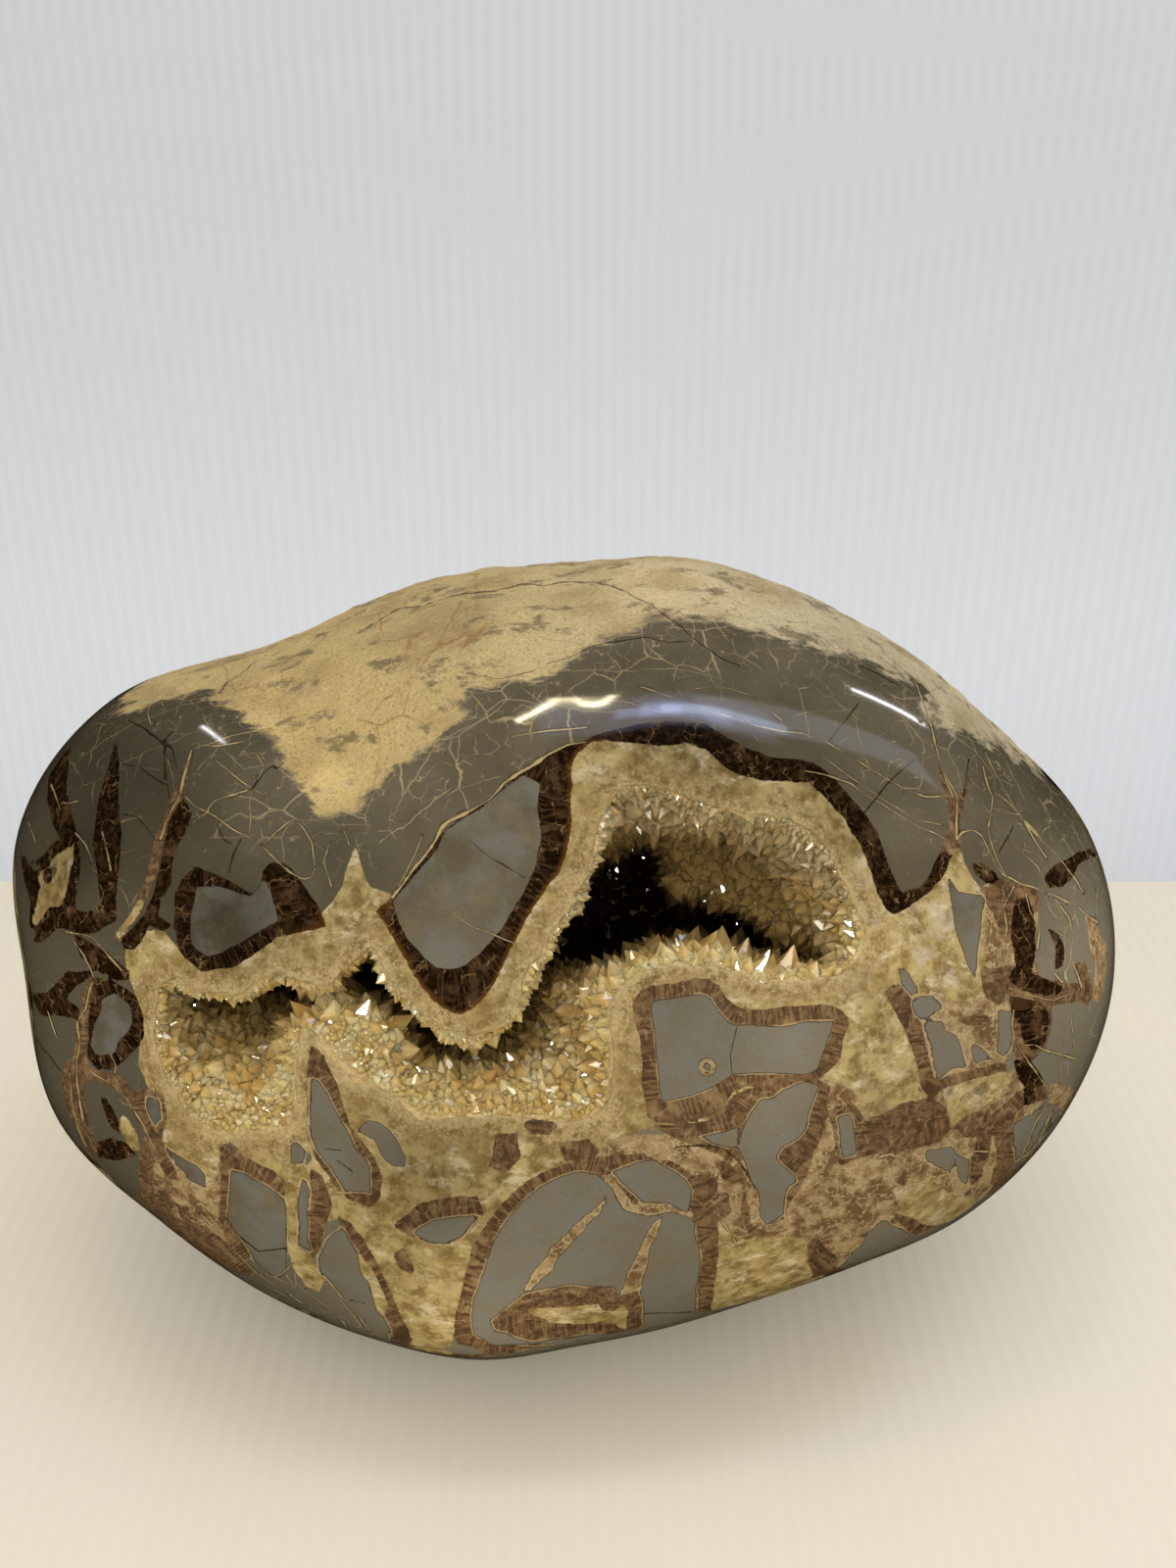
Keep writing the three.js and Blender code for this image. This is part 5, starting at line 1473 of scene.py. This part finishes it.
def crystal_finish():
    """Honey calcite, glassy on its facets and cloudy within, darkened by painted shade deeper in
    the hollow.
    """
    f = Finish("honey_calcite")
    deep, own = f.attribute("deep"), f.attribute("tone")
    colour = f.mix(own, tone(194, 163, 100), tone(208, 183, 122))
    colour = f.mix(f.step(f.noise(8.0, 3), 0.44, 0.6, 0, 0.65), colour, tone(180, 142, 74))
    colour = f.mix(f.step(f.noise(5.0, 3, vector=f.vector("ADD", f.place, (50.0, 0.0, 0.0))),
                          0.5, 0.66, 0, 0.65), colour, tone(228, 208, 156))
    roof = f.step(f.split(f.place)[2], 139, 148)
    colour = f.mix(f.times(roof, 0.65), colour, tone(158, 140, 104))
    # painted shade: darker with depth below the skin, near black in the deep cavern
    colour = f.mix(f.step(deep, 4, 18, 0, 0.85), colour, tone(112, 88, 46))
    colour = f.mix(f.step(deep, 22, 38), colour, tone(26, 17, 8))
    gloss = f.step(own, 0.0, 1.0, 0.06, 0.22)
    f.use(Base_Color=colour, Roughness=f.between(f.step(deep, 10, 20), gloss, 0.03))
    f.shader.inputs["IOR"].default_value = 1.58
    f.shader.inputs["Transmission Weight"].default_value = 0.1
    f.shader.inputs["Subsurface Weight"].default_value = 0.75
    f.shader.inputs["Subsurface Radius"].default_value = (1.0, 0.85, 0.6)
    f.shader.inputs["Subsurface Scale"].default_value = 0.0035
    return f.material


def sheet_finish(name, colour, dirt, pitch):
    """Fluted plastic sheet, as floor and wall; pitch is that of its flutes in mm."""
    f = Finish(name)
    side = f.split(f.place)[0]
    flutes = f.math("SINE", f.times(side, 2 * math.pi / pitch))
    shade = f.mix(f.times(f.step(flutes, -1, 1), 0.07), colour, tone(170, 165, 155))
    shade = f.mix(f.times(f.step(f.noise(160.0, 4), 0.45, 0.75), dirt), shade, tone(214, 204, 180))
    f.use(Base_Color=shade, Roughness=0.45, Normal=f.bump(flutes, 0.25, 0.25))
    return f.material


paint_stone(nodule)
for piece, finish in ((nodule, nodule_finish()), (crust, crust_finish())):
    piece.data.materials.clear()
    piece.data.materials.append(finish)
    piece.data.polygons.foreach_set("material_index", np.zeros(len(piece.data.polygons), np.int32))
crystal_look = crystal_finish()
for piece in crystal_pieces:
    piece.data.materials.append(crystal_look)
for piece in (crust, *crystal_pieces):
    put_numbers(piece, "deep", depth_below_skin(to_face(vertex_points(piece))))

for piece in (crust, *crystal_pieces):
    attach(piece, "root")
    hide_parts("crystal_crust")
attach(nodule, "root")
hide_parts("nodule")

# ---------------------------------------------------------------- the studio
def box_points(low, high):
    """Corners and faces of a box between two corners."""
    corners = np.array([[x, y, z] for z in (low[2], high[2]) for y in (low[1], high[1])
                        for x in (low[0], high[0])], float)
    faces = [(0, 2, 3, 1), (4, 5, 7, 6), (0, 1, 5, 4), (2, 6, 7, 3), (0, 4, 6, 2), (1, 3, 7, 5)]
    return corners, np.array(faces)


# the stone stands near the back of a plinth; the wall is further off, so that the sides and back
# can be looked at too
floor = new_piece("floor", *box_points((-1300, -1500, -450), (1300, 204, 0)), smooth=False)
wall_box, box_faces = box_points((-1300, 950, -450), (1300, 954, 1300))
ground_box, _ = box_points((-1300, 204, -454), (1300, 954, -450))
wall = new_piece("backdrop", np.concatenate([wall_box, ground_box]),
                 [tuple(np.array(face) + 8 * k) for k in range(2) for face in box_faces],
                 smooth=False)
floor.data.materials.append(sheet_finish("floor_sheet", tone(198, 191, 175), 0.25, 5.0))
wall.data.materials.append(sheet_finish("wall_sheet", tone(210, 212, 214), 0.12, 11.6))
floor.visible_glossy = wall.visible_glossy = False


def lamp(name, start, end, width, power, colour, mirrored=True, diffuse=True, at=(0, 0, 0.1),
         only=None, shadow=True):
    """A rectangular light along a line, looking at a spot; only: the pieces that it lights."""
    start, end = Vector(start), Vector(end)
    data = bpy.data.lights.new(name, "AREA")
    data.energy, data.color, data.shape = power, colour, "RECTANGLE"
    data.size, data.size_y = (end - start).length, width
    light = bpy.data.objects.new(name, data)
    light.location = (start + end) / 2
    along = (end - start).normalized()
    back = light.location - Vector(at)
    back = (back - along * back.dot(along)).normalized()
    light.rotation_euler = Matrix((along, back.cross(along), back)).transposed().to_euler()
    light.visible_glossy, light.visible_diffuse = mirrored, diffuse
    light.visible_camera = False
    if only:
        light.light_linking.receiver_collection = bpy.data.collections.new(name)
        for lit in only:
            light.light_linking.receiver_collection.objects.link(lit)
    data.use_shadow = shadow
    bpy.context.scene.collection.objects.link(light)


warm, plain = (1, 0.88, 0.58), (1, 0.96, 0.9)
lamp("ceiling", (-2.0, -0.2, 2.6), (2.0, -0.2, 2.6), 2.4, 12, plain, mirrored=False)
lamp("fill", (-1.6, -1.9, 1.2), (1.6, -1.9, 1.2), 1.6, 26, plain, mirrored=False)
lamp("floor_wash", (-1.0, -0.9, 1.8), (1.0, -0.9, 1.8), 1.6, 26, plain, mirrored=False,
     only=[floor], shadow=False)
lamp("wall_wash", (-1.2, 0.45, -0.35), (1.2, 0.45, -0.35), 0.2, 3.1, (0.96, 0.98, 1),
     mirrored=False, at=(0, 0.95, -0.35), only=[wall], shadow=False)
# the polish mirrors a warm tube and a bluish window in thin arcs; x and y of each end, at one
# height, then width, power and colour
ABOVE = 1.65
TUBE_POWER = 290                # W to a square metre
tube = [(-0.31, -0.28), (-0.17, -0.21), (-0.10, -0.13), (-0.075, -0.06)]
for k, width in enumerate((0.020, 0.020, 0.012)):
    start, end = (*tube[k], ABOVE), (*tube[k + 1], ABOVE)
    lamp(f"tube_{k}", start, end, width, TUBE_POWER * width * math.dist(start, end), warm)
for name, start, end, width, power, colour in (
        ("window_a", (-0.06, -0.26), (0.42, -0.235), 0.08, 0.7, (0.48, 0.55, 1)),
        ("window_aa", (0.08, -0.245), (0.70, -0.22), 0.15, 1.3, (0.5, 0.58, 1)),
        ("window_haze", (-0.15, -0.28), (0.9, -0.17), 0.32, 1.6, (0.6, 0.66, 1)),
        ("window_b", (0.26, -0.24), (0.98, -0.15), 0.09, 1.2, (0.62, 0.74, 1)),
        ("window_c", (0.55, -0.22), (2.2, 0.45), 0.30, 2.6, (0.85, 0.92, 1))):
    lamp(name, (*start, ABOVE), (*end, ABOVE), width, power, colour)
lamp("glint_right", (0.37, 0.19, 0.50), (0.40, 0.19, 0.37), 0.008, 0.12, (1, 1, 1))
lamp("glint_left", (-0.25, 0.19, 0.49), (-0.297, 0.19, 0.75), 0.006, 0.15, (1, 1, 1))
# small bright square lamps that only the crystals catch
SPARKLE = 0.05
for k, spot in enumerate(((-0.5, -0.9, 0.9), (0.15, -1.0, 0.55), (0.7, -0.8, 1.0),
                          (-0.1, -0.7, 1.3), (0.4, -0.5, 1.4), (-0.9, -0.5, 0.7),
                          (-0.2, -1.1, 0.3), (0.9, -0.9, 0.4), (0.3, -1.2, 0.9),
                          (-0.4, -0.3, 1.2), (1.1, -0.3, 0.8), (-0.7, -1.1, 0.2),
                          (0.5, -1.2, 0.2), (0.0, -0.3, 1.5), (-0.3, -0.8, 0.6))):
    lamp(f"sparkle_{k}", spot, (spot[0] + SPARKLE, *spot[1:]), SPARKLE, 2.0, (1, 0.96, 0.84),
         diffuse=False, only=crystal_pieces)
world = bpy.data.worlds.new("studio")
bpy.context.scene.world = world
world.use_nodes = True
background = world.node_tree.nodes["Background"].inputs
background["Color"].default_value = (0.97, 0.96, 0.95, 1)
background["Strength"].default_value = 0.66
world.cycles_visibility.glossy = False
bpy.context.scene.view_settings.view_transform = "Standard"

lens = bpy.data.cameras.new("photo_camera")
lens.sensor_width = 36
lens.lens = lens.sensor_width * FOCAL / max(PHOTO)
lens.clip_start = 0.01
camera = bpy.data.objects.new("photo_camera", lens)
camera.location = CAMERA * 0.001
camera.rotation_euler = (math.pi / 2 - PITCH, 0, 0)
bpy.context.scene.collection.objects.link(camera)
bpy.context.scene.camera = camera
